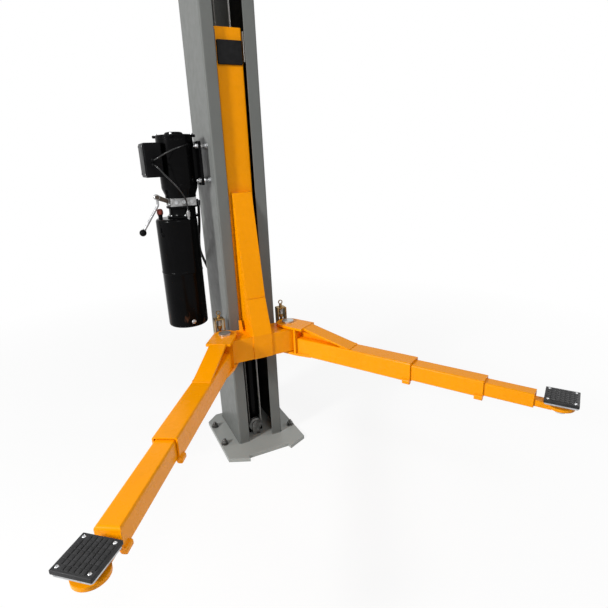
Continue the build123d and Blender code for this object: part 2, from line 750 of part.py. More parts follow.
def pad_set(side, swing, stage, at, turn, top, name):
    """Round pad plate with its bar, the pad's screw and plate, and the rubber pad."""
    frame = arm_frame(side, swing)
    size = TUBE[stage]
    floor = tube_axis(stage) - size / 2 + TUBE_T
    start = at - PAD_BACK_GAP - BAR_IN
    bar_end = at - PAD_STEM_R - BAR_CLEAR
    with BuildPart() as disc:
        with BuildSketch(frame.offset(floor)):
            with Locations(((start + bar_end) / 2, 0)):
                Rectangle(bar_end - start, min(2 * BAR_HALF_W, size - 2 * TUBE_T - 6))
        extrude(amount=BAR_H)
        with BuildSketch(frame.offset(floor + BAR_H - DISC_T)):
            with Locations((at, 0)):
                Circle(DISC_R)
                Circle(PAD_STEM_R + FIT, mode=Mode.SUBTRACT)
        extrude(amount=DISC_T)
    save(disc, f"{name}_pad_disc")
    centre = frame.origin + frame.x_dir * at
    pad_frame = Plane(origin=centre, x_dir=frame.x_dir, z_dir=(0, 0, 1)).rotated((0, 0, turn))
    plate_z = top - PAD_RUBBER_T - PAD_PLATE_T
    with BuildPart() as stem:
        with BuildSketch(pad_frame.offset(floor - 6)):
            Circle(PAD_STEM_R)
        extrude(amount=plate_z - floor + 6)
        with BuildSketch(pad_frame.offset(floor + BAR_H + SEAT)):
            Circle(PAD_STEM_R + 8)
        extrude(amount=6)
        with BuildSketch(pad_frame.offset(plate_z)):
            RectangleRounded(PAD_SIDE - 4, PAD_SIDE - 4, PAD_CORNER_R)
        extrude(amount=PAD_PLATE_T)
    save(stem, f"{name}_pad_screw")
    with BuildPart() as pad:
        with BuildSketch(pad_frame.offset(top - PAD_RUBBER_T)):
            RectangleRounded(PAD_SIDE, PAD_SIDE, PAD_CORNER_R)
        extrude(amount=PAD_RUBBER_T - STUD_H)
        with BuildSketch(pad_frame.offset(top - STUD_H)):
            with GridLocations(STUD_PITCH, STUD_PITCH, STUD_ROWS, STUD_ROWS):
                Rectangle(STUD, STUD)
            # the four corner squares make room for the screws
            corner = STUD_PITCH * (STUD_ROWS - 1)
            with GridLocations(corner, corner, 2, 2):
                Rectangle(STUD_PITCH, STUD_PITCH, mode=Mode.SUBTRACT)
        extrude(amount=STUD_H)
    save(pad, f"{name}_pad")


arm_outer(-1, LEFT_SWING, LEFT_OUTER_END, "left_arm_outer")
arm_tube(
    -1, LEFT_SWING, 1, LEFT_INNER_START, LEFT_INNER_END, "left_arm_inner", stop=True, closed=True
)
pad_set(-1, LEFT_SWING, 1, LEFT_PAD_AT, LEFT_PAD_TURN, LEFT_PAD_TOP, "left")
arm_outer(1, RIGHT_SWING, RIGHT_OUTER_END, "right_arm_outer")
arm_tube(
    1, RIGHT_SWING, 1, RIGHT_MIDDLE_START, RIGHT_MIDDLE_END, "right_arm_middle", stop=True
)
arm_tube(1, RIGHT_SWING, 2, RIGHT_INNER_START, RIGHT_INNER_END, "right_arm_inner")
pad_set(1, RIGHT_SWING, 2, RIGHT_PAD_AT, RIGHT_PAD_TURN, RIGHT_PAD_TOP, "right")

# Hydraulic cylinder standing on the base plate
with BuildPart() as cylinder:
    with BuildSketch(level(BASE_T)):
        with Locations((0, CYL_Y)):
            RectangleRounded(2 * CYL_R + 10, 2 * CYL_R + 4, 6)
    extrude(amount=CYL_FOOT_H)
    with BuildSketch(level(BASE_T + CYL_FOOT_H)):
        with Locations((0, CYL_Y)):
            Circle(CYL_R)
    extrude(amount=CYL_TOP - BASE_T - CYL_FOOT_H)
    with BuildSketch(level(CYL_TOP - GLAND_H)):
        with Locations((0, CYL_Y)):
            Circle(GLAND_R)
    extrude(amount=GLAND_H)
    with BuildSketch(level(BASE_T + CYL_FOOT_H)):
        with Locations((0, CYL_Y)):
            Circle(CYL_R - CYL_WALL)
    extrude(amount=CYL_TOP - GLAND_H - BASE_T - CYL_FOOT_H, mode=Mode.SUBTRACT)
    with BuildSketch(level(CYL_TOP - GLAND_H)):
        with Locations((0, CYL_Y)):
            Circle(ROD_R + FIT)
    extrude(amount=GLAND_H, mode=Mode.SUBTRACT)
save(cylinder, "cylinder")

# Ram: rod, piston and the yoke that holds the chain roller
with BuildPart() as ram:
    with BuildSketch(level(ROD_BOTTOM)):
        with Locations((0, CYL_Y)):
            Circle(CYL_R - CYL_WALL - FIT)
    extrude(amount=PISTON_H)
    with BuildSketch(level(ROD_BOTTOM)):
        with Locations((0, CYL_Y)):
            Circle(ROD_R)
    extrude(amount=ROD_TOP - ROD_BOTTOM)
    yoke_half = ROLLER_W / 2 + 1 + YOKE_T
    with BuildSketch(level(ROD_TOP)):
        with Locations((0, CYL_Y)):
            Rectangle(2 * yoke_half, 2 * ROD_R + 6)
    extrude(amount=12)
    for x in (-1, 1):
        cheek = Plane.YZ.offset(x * (yoke_half - YOKE_T / 2))
        with BuildSketch(cheek):
            with Locations((CYL_Y, (ROD_TOP + ROLLER_Z) / 2)):
                Rectangle(2 * ROD_R, ROLLER_Z - ROD_TOP)
            with Locations((CYL_Y, ROLLER_Z)):
                Circle(ROD_R)
        extrude(amount=YOKE_T / 2, both=True)
    with BuildSketch(Plane.YZ):
        with Locations((CYL_Y, ROLLER_Z)):
            Circle(AXLE_R)
    extrude(amount=yoke_half, both=True)
save(ram, "ram")

# Chain roller on the yoke's axle
with BuildPart() as chain_roller:
    with BuildSketch(Plane.YZ):
        with Locations((CYL_Y, ROLLER_Z)):
            Circle(CHAIN_PITCH_R - CHAIN_T / 2 - SEAT)
            Circle(AXLE_R + FIT, mode=Mode.SUBTRACT)
    extrude(amount=ROLLER_W / 2, both=True)
save(chain_roller, "chain_roller")

# Chain: a rear strand from the foot of the cylinder, over the roller, down to the carriage
with BuildPart() as chain_rear:
    with BuildSketch(level(CHAIN_FOOT_Z)):
        with Locations((0, CYL_Y + CHAIN_PITCH_R)):
            Rectangle(CHAIN_W, CHAIN_T)
    extrude(amount=ROLLER_Z - CHAIN_FOOT_Z)
    with BuildSketch(Plane.YZ):
        with Locations((CYL_Y, ROLLER_Z)):
            Circle(CHAIN_PITCH_R + CHAIN_T / 2)
            Circle(CHAIN_PITCH_R - CHAIN_T / 2, mode=Mode.SUBTRACT)
        with Locations((CYL_Y, ROLLER_Z - CHAIN_PITCH_R)):
            Rectangle(4 * CHAIN_PITCH_R, 2 * CHAIN_PITCH_R, mode=Mode.SUBTRACT)
    extrude(amount=CHAIN_W / 2, both=True)
save(chain_rear, "chain_rear")

with BuildPart() as chain_front:
    with BuildSketch(level(CHAIN_HITCH_Z)):
        with Locations((0, CYL_Y - CHAIN_PITCH_R)):
            Rectangle(CHAIN_W, CHAIN_T)
    extrude(amount=ROLLER_Z - CHAIN_HITCH_Z - SEAT)
save(chain_front, "chain_front")

# Foot bracket that holds the chain's fixed end
with BuildPart() as chain_anchor:
    with BuildSketch(level(BASE_T)):
        with Locations((0, CYL_Y + CHAIN_PITCH_R)):
            Rectangle(CHAIN_W + 16, CHAIN_T + 10)
    extrude(amount=CHAIN_FOOT_Z - BASE_T)
save(chain_anchor, "chain_anchor")


def sheave(plane, name):
    """Grooved rope wheel with a bored hub, centred on the plane."""
    with BuildPart() as wheel:
        with BuildSketch(plane):
            Circle(SHEAVE_RIM_R)
        extrude(amount=SHEAVE_W / 2, both=True)
        with BuildSketch(plane):
            Circle(AXLE_R + FIT)
        extrude(amount=SHEAVE_W / 2, both=True, mode=Mode.SUBTRACT)
        groove = Plane(origin=plane.origin, x_dir=plane.x_dir, z_dir=plane.y_dir)
        with BuildSketch(groove):
            with Locations((SHEAVE_R, 0)):
                Circle(ROPE_R + SEAT)
            with Locations((SHEAVE_R + SHEAVE_W / 2, 0)):
                Rectangle(SHEAVE_W, 2 * (ROPE_R + SEAT))
        revolve(axis=Axis(plane.origin, plane.z_dir), mode=Mode.SUBTRACT)
    save(wheel, name)


BASE_WHEEL = Plane(origin=(BASE_SHEAVE_X, ROPE_Y, BASE_SHEAVE_Z), x_dir=(1, 0, 0), z_dir=(0, -1, 0))
sheave(BASE_WHEEL, "base_sheave")
for rope_x, wheel_name in ((UP_ROPE_X, "top_sheave_right"), (RETURN_ROPE_X, "top_sheave_left")):
    sheave(
        Plane(origin=(rope_x, TOP_SHEAVE_Y, TOP_SHEAVE_Z), x_dir=(0, 1, 0), z_dir=(1, 0, 0)),
        wheel_name,
    )

# Bracket and axle of the base sheave
with BuildPart() as base_sheave_bracket:
    for y in (-1, 1):
        cheek_y = ROPE_Y + y * (SHEAVE_W / 2 + 2 + CHEEK_T / 2)
        with BuildSketch(Plane.XZ.offset(-cheek_y)):
            with Locations((BASE_SHEAVE_X, (BASE_T + BASE_SHEAVE_Z) / 2)):
                Rectangle(2 * CHEEK_HALF_W, BASE_SHEAVE_Z - BASE_T)
            with Locations((BASE_SHEAVE_X, BASE_SHEAVE_Z)):
                Circle(CHEEK_HALF_W)
        extrude(amount=CHEEK_T / 2, both=True)
    with BuildSketch(Plane.XZ.offset(-ROPE_Y)):
        with Locations((BASE_SHEAVE_X, BASE_SHEAVE_Z)):
            Circle(AXLE_R)
    extrude(amount=SHEAVE_W / 2 + 2 + CHEEK_T + 4, both=True)
save(base_sheave_bracket, "base_sheave_bracket")

# Bracket and axle of the two top sheaves
with BuildPart() as top_sheave_bracket:
    cheeks = (
        UP_ROPE_X + SHEAVE_W / 2 + 3,
        RETURN_ROPE_X - SHEAVE_W / 2 - 3,
    )
    for x, way in zip(cheeks, (1, -1)):
        with BuildSketch(Plane.YZ.offset(x)):
            with Locations((TOP_SHEAVE_Y, (POST_TOP + TOP_SHEAVE_Z) / 2)):
                Rectangle(2 * CHEEK_HALF_W, POST_TOP - TOP_SHEAVE_Z)
            with Locations((TOP_SHEAVE_Y, TOP_SHEAVE_Z)):
                Circle(CHEEK_HALF_W)
        extrude(amount=way * CHEEK_T)
    with BuildSketch(Plane.YZ.offset(cheeks[1] - CHEEK_T)):
        with Locations((TOP_SHEAVE_Y, TOP_SHEAVE_Z)):
            Circle(AXLE_R)
    extrude(amount=cheeks[0] - cheeks[1] + 2 * CHEEK_T)
save(top_sheave_bracket, "top_sheave_bracket")


def rope_over_top(x, low, name):
    """Rope from height low up to its top sheave, over it and out to the front."""
    with BuildPart() as rope:
        with BuildLine() as path:
            up = Line((x, ROPE_Y, low), (x, ROPE_Y, TOP_SHEAVE_Z))
            bend = TangentArc(up @ 1, (x, TOP_SHEAVE_Y, TOP_SHEAVE_Z + SHEAVE_R), tangent=up % 1)
            Line(bend @ 1, (x, FRONT, TOP_SHEAVE_Z + SHEAVE_R))
        with BuildSketch(level(low)):
            with Locations((x, ROPE_Y)):
                Circle(ROPE_R)
        sweep(path=path.line)
    save(rope, name)


# Rope from the carriage's top, and the lower rope round the base sheave and back up
rope_over_top(UP_ROPE_X, CAR_TOP - CAR_T - 14, "rope_up")
rope_over_top(RETURN_ROPE_X, BASE_SHEAVE_Z + SEAT, "rope_return")
with BuildPart() as rope_down:
    with BuildLine() as down_path:
        drop = Line(
            (DOWN_ROPE_X, ROPE_Y, CHAIN_HITCH_Z - HITCH_T), (DOWN_ROPE_X, ROPE_Y, BASE_SHEAVE_Z + SEAT)
        )
        TangentArc(drop @ 1, (RETURN_ROPE_X, ROPE_Y, BASE_SHEAVE_Z + SEAT), tangent=drop % 1)
    with BuildSketch(Plane(origin=drop @ 0, z_dir=(0, 0, -1))):
        Circle(ROPE_R)
    sweep(path=down_path.line)
save(rope_down, "rope_down")

# Foot plate that carries the motor, with two webs that meet it
SIDE_X = -POST_W / 2
FOOT_X = SIDE_X - FOOT_GAP - FOOT_T
with BuildPart() as motor_foot:
    with BuildSketch(Plane.YZ.offset(FOOT_X)):
        with Locations((UNIT_Y, FOOT_Z0 + FOOT_H / 2)):
            RectangleRounded(2 * FOOT_HALF_W, FOOT_H, 8)
    extrude(amount=FOOT_T)
    # box of four webs, cut to the motor's round side
    with BuildSketch(level(FOOT_Z0 + FOOT_WEB_INSET)):
        with Locations(((FOOT_X + MOTOR_X) / 2, UNIT_Y)):
            Rectangle(FOOT_X - MOTOR_X, 2 * FOOT_WEB_HALF)
    extrude(amount=FOOT_H - 2 * FOOT_WEB_INSET)
    with BuildSketch(level(FOOT_Z0 + FOOT_WEB_INSET + FOOT_WEB_T)):
        with Locations(((FOOT_X + MOTOR_X) / 2, UNIT_Y)):
            Rectangle(FOOT_X - MOTOR_X, 2 * (FOOT_WEB_HALF - FOOT_WEB_T))
    extrude(amount=FOOT_H - 2 * (FOOT_WEB_INSET + FOOT_WEB_T), mode=Mode.SUBTRACT)
    with BuildSketch(level(FOOT_Z0)):
        with Locations((MOTOR_X, UNIT_Y)):
            Circle(MOTOR_R)
    extrude(amount=FOOT_H, mode=Mode.SUBTRACT)
save(motor_foot, "motor_foot")

# Studs that hold the foot plate, with nuts at the column and on both sides of the plate
with BuildPart() as foot_bolts:
    spots = [
        (y, z)
        for y in (UNIT_Y - FOOT_BOLT_Y, UNIT_Y + FOOT_BOLT_Y)
        for z in (FOOT_Z0 + FOOT_BOLT_INSET, FOOT_Z0 + FOOT_H - FOOT_BOLT_INSET)
    ]
    nut = 1.6 * FOOT_BOLT_R
    with BuildSketch(Plane.YZ.offset(SIDE_X)):
        with Locations(spots):
            Circle(FOOT_BOLT_R)
    extrude(amount=-FOOT_GAP)
    for x in (SIDE_X, FOOT_X, FOOT_X + FOOT_T + nut):
        with BuildSketch(Plane.YZ.offset(x)):
            with Locations(spots):
                RegularPolygon(nut, 6, major_radius=False)
        extrude(amount=-nut)
    with BuildSketch(Plane.YZ.offset(FOOT_X)):
        with Locations(spots):
            Circle(FOOT_BOLT_R)
    extrude(amount=-FOOT_BOLT_OUT)
save(foot_bolts, "foot_bolts")

# Motor: turned body with a tapered foot, and a clip for its cable
with BuildPart() as motor:
    with BuildSketch(Plane(origin=(MOTOR_X, UNIT_Y, 0), x_dir=(1, 0, 0), z_dir=(0, -1, 0))):
        with BuildLine():
            Polyline(
                (0, BLOCK_Z1),
                (BELL_R, BLOCK_Z1),
                (BELL_R, BLOCK_Z1 + BELL_RIM_H),
                (MOTOR_R, BLOCK_Z1 + BELL_H),
                (MOTOR_R, MOTOR_TOP),
                (0, MOTOR_TOP),
                close=True,
            )
        make_face()
    revolve(axis=Axis((MOTOR_X, UNIT_Y, 0), (0, 0, 1)))
    cable_end = Vector(*MOTOR_CABLE[-1])
    cable_way = (cable_end - Vector(*MOTOR_CABLE[-2])).normalized()
    with BuildSketch(Plane(origin=cable_end, z_dir=cable_way)):
        Circle(2 * CABLE_R)
    extrude(amount=16)
save(motor, "motor")

# Top end plate of the motor with its screw ears, and the dome on it
with BuildPart() as motor_cap:
    with BuildSketch(level(MOTOR_TOP)):
        with Locations((MOTOR_X, UNIT_Y)):
            Circle(MOTOR_R)
            Rectangle(2 * EAR_REACH, EAR_W, rotation=-20)
            Rectangle(2 * EAR_REACH, EAR_W, rotation=70)
    extrude(amount=END_PLATE_T)
    with BuildSketch(level(MOTOR_TOP + END_PLATE_T)):
        with Locations((MOTOR_X, UNIT_Y)):
            Circle(DOME_R)
    extrude(amount=DOME_H)
    fillet(motor_cap.edges().group_by(Axis.Z)[-1], DOME_FILLET)
save(motor_cap, "motor_cap")

# Control box with a saddle that fits the motor, and two cable glands
with BuildPart() as control_box:
    with BuildSketch(level(BOX_Z0)):
        with Locations((BOX_X0 + BOX_W / 2, UNIT_Y)):
            RectangleRounded(BOX_W, BOX_D, 6)
    extrude(amount=BOX_H)
    fillet(control_box.faces().sort_by(Axis.Z)[-1].edges(), 3)
    with BuildSketch(level(BOX_Z0)):
        with Locations((MOTOR_X, UNIT_Y)):
            Circle(MOTOR_R)
    extrude(amount=BOX_H, mode=Mode.SUBTRACT)
    for start in (MOTOR_CABLE[0], VALVE_CABLE[0]):
        with BuildSketch(Plane(origin=start, z_dir=(0, 1, 0))):
            Circle(2.4 * CABLE_R)
        extrude(amount=UNIT_Y - BOX_D / 2 - start[1])
save(control_box, "control_box")

# Valve block with blind ports, and the arm, eye and pin of the lowering lever
with BuildPart() as valve_block:
    with BuildSketch(level(BLOCK_Z0)):
        with Locations((MOTOR_X, UNIT_Y)):
            RectangleRounded(2 * BLOCK_HALF, 2 * BLOCK_HALF, 4)
    extrude(amount=BLOCK_Z1 - BLOCK_Z0)
    with BuildSketch(Plane.XZ.offset(BLOCK_HALF - UNIT_Y)):
        with Locations((MOTOR_X, (BLOCK_Z0 + BLOCK_Z1) / 2)):
            with GridLocations(PORT_PITCH, 0, 3, 1):
                Circle(PORT_R)
    extrude(amount=-PORT_DEPTH, mode=Mode.SUBTRACT)
    with BuildSketch(Plane.XZ.offset(-UNIT_Y)):
        with BuildLine():
            Polyline(
                (MOTOR_X - BLOCK_HALF, BLOCK_Z1 - 26),
                (MOTOR_X - BLOCK_HALF, BLOCK_Z1 - 6),
                (LEVER_X, LEVER_Z + LEVER_EYE_R),
                (LEVER_X, LEVER_Z - LEVER_EYE_R),
                close=True,
            )
        make_face()
        with Locations((LEVER_X, LEVER_Z)):
            Circle(LEVER_EYE_R)
    extrude(amount=LEVER_ARM_T / 2, both=True)
    with BuildSketch(Plane.XZ.offset(LEVER_ARM_T / 2 - UNIT_Y)):
        with Locations((LEVER_X, LEVER_Z)):
            Circle(LEVER_R)
    extrude(amount=2 * SEAT + 2 * LEVER_R + 4)
    with BuildSketch(Plane.XZ.offset(LEVER_ARM_T / 2 - UNIT_Y + 2 * SEAT + 2 * LEVER_R + 4)):
        with Locations((LEVER_X, LEVER_Z)):
            Circle(LEVER_R + 4)
    extrude(amount=4)
save(valve_block, "valve_block")

# Neck between valve block and tank, with the socket of the valve's cable
with BuildPart() as tank_neck:
    with BuildSketch(level(TANK_TOP)):
        with Locations((MOTOR_X, UNIT_Y)):
            Circle(NECK_R)
    extrude(amount=BLOCK_Z0 - TANK_TOP)
    with BuildSketch(level(VALVE_CABLE[-1][2])):
        with Locations(VALVE_CABLE[-1][:2]):
            Circle(3 * CABLE_R)
    extrude(amount=-26)
save(tank_neck, "tank_neck")

# Oil tank with its seam
with BuildPart() as tank:
    with BuildSketch(level(TANK_BOTTOM)):
        with Locations((TANK_X, UNIT_Y)):
            Circle(TANK_R)
    extrude(amount=TANK_TOP - TANK_BOTTOM)
    fillet(tank.edges().group_by(Axis.Z)[-1], 10)
    fillet(tank.edges().group_by(Axis.Z)[0], 6)
    with BuildSketch(level(TANK_TOP - SEAM_DOWN - SEAM_H / 2)):
        with Locations((TANK_X, UNIT_Y)):
            Circle(TANK_R + SEAM_OUT)
    extrude(amount=SEAM_H)
save(tank, "tank")

with BuildPart() as filler_cap:
    with BuildSketch(level(TANK_TOP)):
        with Locations((CAP_X, UNIT_Y)):
            Circle(CAP_R - 3)
    extrude(amount=CAP_H)
    with BuildSketch(level(TANK_TOP + CAP_H / 2)):
        with Locations((CAP_X, UNIT_Y)):
            Circle(CAP_R)
    extrude(amount=CAP_H / 2)
save(filler_cap, "filler_cap")

# Lowering lever on its pin, with a ball knob turned about the rod
LEVER_FACE = LEVER_ARM_T / 2 - UNIT_Y + SEAT
with BuildPart() as lever:
    with BuildSketch(Plane.XZ.offset(LEVER_FACE)):
        with Locations((LEVER_X, LEVER_Z)):
            Circle(LEVER_EYE_R)
    extrude(amount=2 * LEVER_R + 4)
    rod_start = Vector(LEVER_X, -LEVER_FACE - LEVER_R - 2, LEVER_Z)
    rod_end = rod_start + Vector(LEVER_REACH[0], 0, LEVER_REACH[1])
    with BuildSketch(Plane(origin=rod_start, z_dir=rod_end - rod_start)):
        Circle(LEVER_R)
    extrude(amount=(rod_end - rod_start).length - KNOB_R / 2)
    with BuildSketch(Plane.XZ.offset(LEVER_FACE)):
        with Locations((LEVER_X, LEVER_Z)):
            Circle(LEVER_R + FIT)
    extrude(amount=2 * LEVER_R + 4, mode=Mode.SUBTRACT)
save(lever, "lever")

with BuildPart() as lever_knob:
    reach = (rod_end - rod_start).normalized()
    with BuildSketch(Plane(origin=rod_end, x_dir=(0, 1, 0), z_dir=Vector(0, 1, 0).cross(reach))):
        Circle(KNOB_R)
        with Locations((-KNOB_R, 0)):
            Rectangle(2 * KNOB_R, 4 * KNOB_R, mode=Mode.SUBTRACT)
        with Locations((0, -KNOB_R)):
            Rectangle(2 * (LEVER_R + SEAT), KNOB_R + 2 * SEAT, mode=Mode.SUBTRACT)
    revolve(axis=Axis(rod_end, reach))
save(lever_knob, "lever_knob")


def route(points, name):
    """Path along straight runs joined by the widest arcs that the runs allow."""
    spots = [Vector(*point) for point in points]
    with BuildLine() as path:
        here = spots[0]
        for before, at, after in zip(spots, spots[1:], spots[2:]):
            way_in = (at - before).normalized()
            way_out = (after - at).normalized()
            trim = 0.45 * min((at - before).length, (after - at).length)
            half_turn = radians(way_in.get_angle(way_out)) / 2
            print(name, "bend radius", round(trim / tan(half_turn), 1))
            Line(here, at - way_in * trim)
            TangentArc(at - way_in * trim, at + way_out * trim, tangent=way_in)
            here = at + way_out * trim
        Line(here, spots[-1])
    return path.line


# Pressure hose from the valve block round to the column's back
hose_path = route(HOSE_ROUTE, "hose")
with BuildPart() as hose:
    with BuildSketch(Plane(origin=hose_path @ 0, z_dir=hose_path % 0)):
        Circle(HOSE_R)
    sweep(path=hose_path)
save(hose, "hose")

# Cables from the control box over the motor and down to the valve
with BuildPart() as wiring:
    for cable, cable_name in ((MOTOR_CABLE, "motor cable"), (VALVE_CABLE, "valve cable")):
        cable_path = route(cable, cable_name)
        with BuildSketch(Plane(origin=cable_path @ 0, z_dir=cable_path % 0)):
            Circle(CABLE_R)
        sweep(path=cable_path)
save(wiring, "wiring")

# Elbows at the two ends of the hose
with BuildPart() as hose_fittings:
    top, low = Vector(*HOSE_ROUTE[0]), Vector(*HOSE_ROUTE[-1])
    block_side = MOTOR_X + BLOCK_HALF
    with BuildSketch(Plane.YZ.offset(block_side)):
        with Locations((top.Y, top.Z + 20)):
            RegularPolygon(HOSE_R + 3, 6, major_radius=False)
    extrude(amount=top.X - block_side)
    with BuildSketch(Plane(origin=top, z_dir=Vector(*HOSE_ROUTE[1]) - top)):
        Circle(HOSE_R + 2)
    extrude(amount=-24)
    elbow = low + (low - Vector(*HOSE_ROUTE[-2])).normalized() * 16
    with BuildSketch(Plane.XZ.offset(-BACK)):
        with Locations((elbow.X, elbow.Z)):
            Circle(HOSE_R + 9)
    extrude(amount=-4)
    with BuildSketch(Plane.XZ.offset(-BACK)):
        with Locations((elbow.X, elbow.Z)):
            RegularPolygon(HOSE_R + 3, 6, major_radius=False)
    extrude(amount=BACK - elbow.Y)
    with BuildSketch(Plane(origin=low, z_dir=Vector(*HOSE_ROUTE[-2]) - low)):
        Circle(HOSE_R + 2)
    extrude(amount=-24)
save(hose_fittings, "hose_fittings")
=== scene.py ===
"""Powered column of a two post car lift, dressed on its CAD frame for a picture."""

import json
import math
from functools import partial

import bpy
from mathutils import Matrix, Vector


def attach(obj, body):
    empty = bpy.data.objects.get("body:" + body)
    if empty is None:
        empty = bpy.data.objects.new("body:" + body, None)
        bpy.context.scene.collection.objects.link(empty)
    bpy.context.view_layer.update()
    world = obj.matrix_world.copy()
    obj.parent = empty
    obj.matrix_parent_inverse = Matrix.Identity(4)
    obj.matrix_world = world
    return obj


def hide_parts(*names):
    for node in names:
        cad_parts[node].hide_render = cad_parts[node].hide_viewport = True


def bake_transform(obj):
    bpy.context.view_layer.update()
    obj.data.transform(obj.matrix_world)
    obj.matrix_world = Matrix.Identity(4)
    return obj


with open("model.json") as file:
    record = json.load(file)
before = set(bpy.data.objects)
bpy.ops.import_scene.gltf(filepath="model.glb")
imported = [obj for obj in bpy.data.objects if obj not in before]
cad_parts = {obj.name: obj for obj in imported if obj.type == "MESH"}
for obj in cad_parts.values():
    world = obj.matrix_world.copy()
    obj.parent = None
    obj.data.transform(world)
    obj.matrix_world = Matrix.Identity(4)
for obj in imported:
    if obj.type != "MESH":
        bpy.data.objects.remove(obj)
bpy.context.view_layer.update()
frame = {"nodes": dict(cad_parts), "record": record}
NODES = frame["nodes"]

bl_info = {
    "name": "Two post lift column",
    "version": (1, 0, 0),
    "blender": (4, 5, 0),
    "location": "View3D > Sidebar > Lift",
    "description": "Builds the finished pieces of a two post lift column on its CAD frame",
    "category": "Object",
}

# Places taken over from the part's own sizes, in metres
PIVOT_X, PIVOT_Y = 0.169, -0.234
LEFT = {
    "side": -1, "swing": 32.0, "pad_at": 1.252, "pad_turn": -8.9, "outer_end": 0.781,
    "pad_top": 0.642,
}
RIGHT = {
    "side": 1, "swing": 29.2, "pad_at": 1.269, "pad_turn": 4.0, "outer_end": 0.690,
    "pad_top": 0.632,
}
ARMS = (("left", LEFT), ("right", RIGHT))
UNIT_Y = -0.020
MOTOR_X = -0.260
TANK_X = -0.293
FILLER_X = -0.366
TANK_ROUND, TANK_TOP = 0.097, 1.262
MOTOR_ROUND, MOTOR_TOP = 0.084, 1.622
EAR_TURNS = tuple(math.radians(-20 + 90 * index) for index in range(4))
BASE_TOP, COLUMN_TOP = 0.020, 3.420
LEVER_AT = (-0.373, -0.0353, 1.363)
LEVER_BRACKET_X = -0.3215
COLUMN_INSIDE_X, COLUMN_INSIDE_Y = (-0.1196, 0.1196), (-0.1536, 0.1796)
RESTRAINT_Y = -0.146
ROPE_Y = -0.096
CARRIAGE_ROPE_X, BASE_ROPE_X = 0.027, -0.041
CHAIN_FRONT_Y, CHAIN_REAR_Y = -0.090, 0.010
ROLLER_Y, ROLLER_Z = -0.040, 1.348
TANK_FOOT_X, TANK_FOOT_Z = (-0.40, -0.20), (0.765, 0.83)
STRANDS, SPOTS_A_LAY = 6, 10
PHOTO_AT, PHOTO_ANGLES = (-0.7165, -2.3096, 1.5155), (-25.33, 17.69, -2.42)
LAMPS_AIM = (0, -0.4, 0.9)
HOSE_ROUTE = (
    (-0.174, 0.005, 1.310),
    (-0.174, 0.020, 1.225),
    (-0.170, 0.088, 1.140),
    (-0.158, 0.158, 1.060),
    (-0.128, 0.208, 0.992),
    (-0.106, 0.214, 0.932),
)
MOTOR_CABLE = (
    (-0.378, -0.105, 1.528),
    (-0.378, -0.145, 1.528),
    (-0.336, -0.154, 1.552),
    (-0.290, -0.146, 1.571),
    (-0.254, -0.124, 1.582),
    (-0.226, -0.1026, 1.588),
)
VALVE_CABLE = (
    (-0.378, -0.105, 1.508),
    (-0.378, -0.145, 1.508),
    (-0.344, -0.152, 1.464),
    (-0.304, -0.146, 1.420),
    (-0.268, -0.126, 1.374),
    (-0.250, -0.098, 1.334),
    (-0.250, -0.098, 1.298),
)


def paint(name, description, default):
    """A colour that a user may change."""
    return bpy.props.FloatVectorProperty(
        name=name, description=description, subtype="COLOR", size=3, min=0, max=1, default=default
    )


def number(name, description, default, **kind):
    """A number that a user may change."""
    return bpy.props.FloatProperty(name=name, description=description, default=default, **kind)


class LiftColours(bpy.types.PropertyGroup):
    """Colours and gloss of the finishes"""

    orange: paint("Orange enamel", "Paint of the carriage and arms", (0.91, 0.322, 0.0))
    grey: paint("Grey enamel", "Paint of the column and base", (0.148, 0.154, 0.147))
    black: paint("Black enamel", "Paint of the motor and oil tank", (0.0016, 0.0016, 0.0018))
    rubber: paint("Rubber", "Lifting pads, door guard and hose", (0.0075, 0.0075, 0.0078))
    gloss: number(
        "Enamel roughness", "Roughness of the sprayed enamel", 0.27, subtype="FACTOR", min=0, max=1
    )


class LiftSizes(bpy.types.PropertyGroup):
    """Sizes of the detailed pieces"""

    pad_side: number("Pad side", "Side of a rubber pad", 0.116, unit="LENGTH")
    pad_thick: number("Pad thickness", "Rubber with its studs", 0.015, unit="LENGTH")
    stud_pitch: number("Stud pitch", "From stud to stud", 0.015, unit="LENGTH")
    rope_radius: number("Rope radius", "Over the strands", 0.0045, unit="LENGTH")
    rope_lay: number("Rope lay", "Length of one turn of a strand", 0.058, unit="LENGTH")
    weld_size: number("Weld size", "Half width of a weld bead", 0.0034, unit="LENGTH")
    chain_pitch: number("Chain pitch", "From pin to pin", 0.015708, unit="LENGTH")


class LiftStage(bpy.types.PropertyGroup):
    """Camera, lamps and floor"""

    lens: number("Lens", "Focal length", 27.31, unit="CAMERA")
    sky: number("Sky", "Strength of the even light all round", 0.20)
    key: number("Key lamp", "Power of the lamp on the left", 168.0, unit="POWER")
    fill: number("Fill lamp", "Power of the lamp on the right", 32.0, unit="POWER")


def add(tree, kind, sockets=None, **settings):
    """A new shader node: a value that is another node's output is linked, any other is set."""
    made = tree.nodes.new("ShaderNode" + kind)
    for key, value in settings.items():
        setattr(made, key, value)
    for key, value in (sockets or {}).items():
        if isinstance(value, bpy.types.NodeSocket):
            tree.links.new(value, made.inputs[key])
        else:
            made.inputs[key].default_value = value
    return made


def started(name, colour, rough, metal=0.0, shine=0.5):
    """A new material with its plain values, and the place that its patterns are read at."""
    material = bpy.data.materials.new(name)
    material.use_nodes = True
    tree = material.node_tree
    plain = {
        "Base Color": (*colour, 1), "Roughness": rough, "Metallic": metal,
        "Specular IOR Level": shine,
    }
    for socket, value in plain.items():
        tree.nodes["Principled BSDF"].inputs[socket].default_value = value
    return material, tree, add(tree, "TexCoord").outputs["Object"]


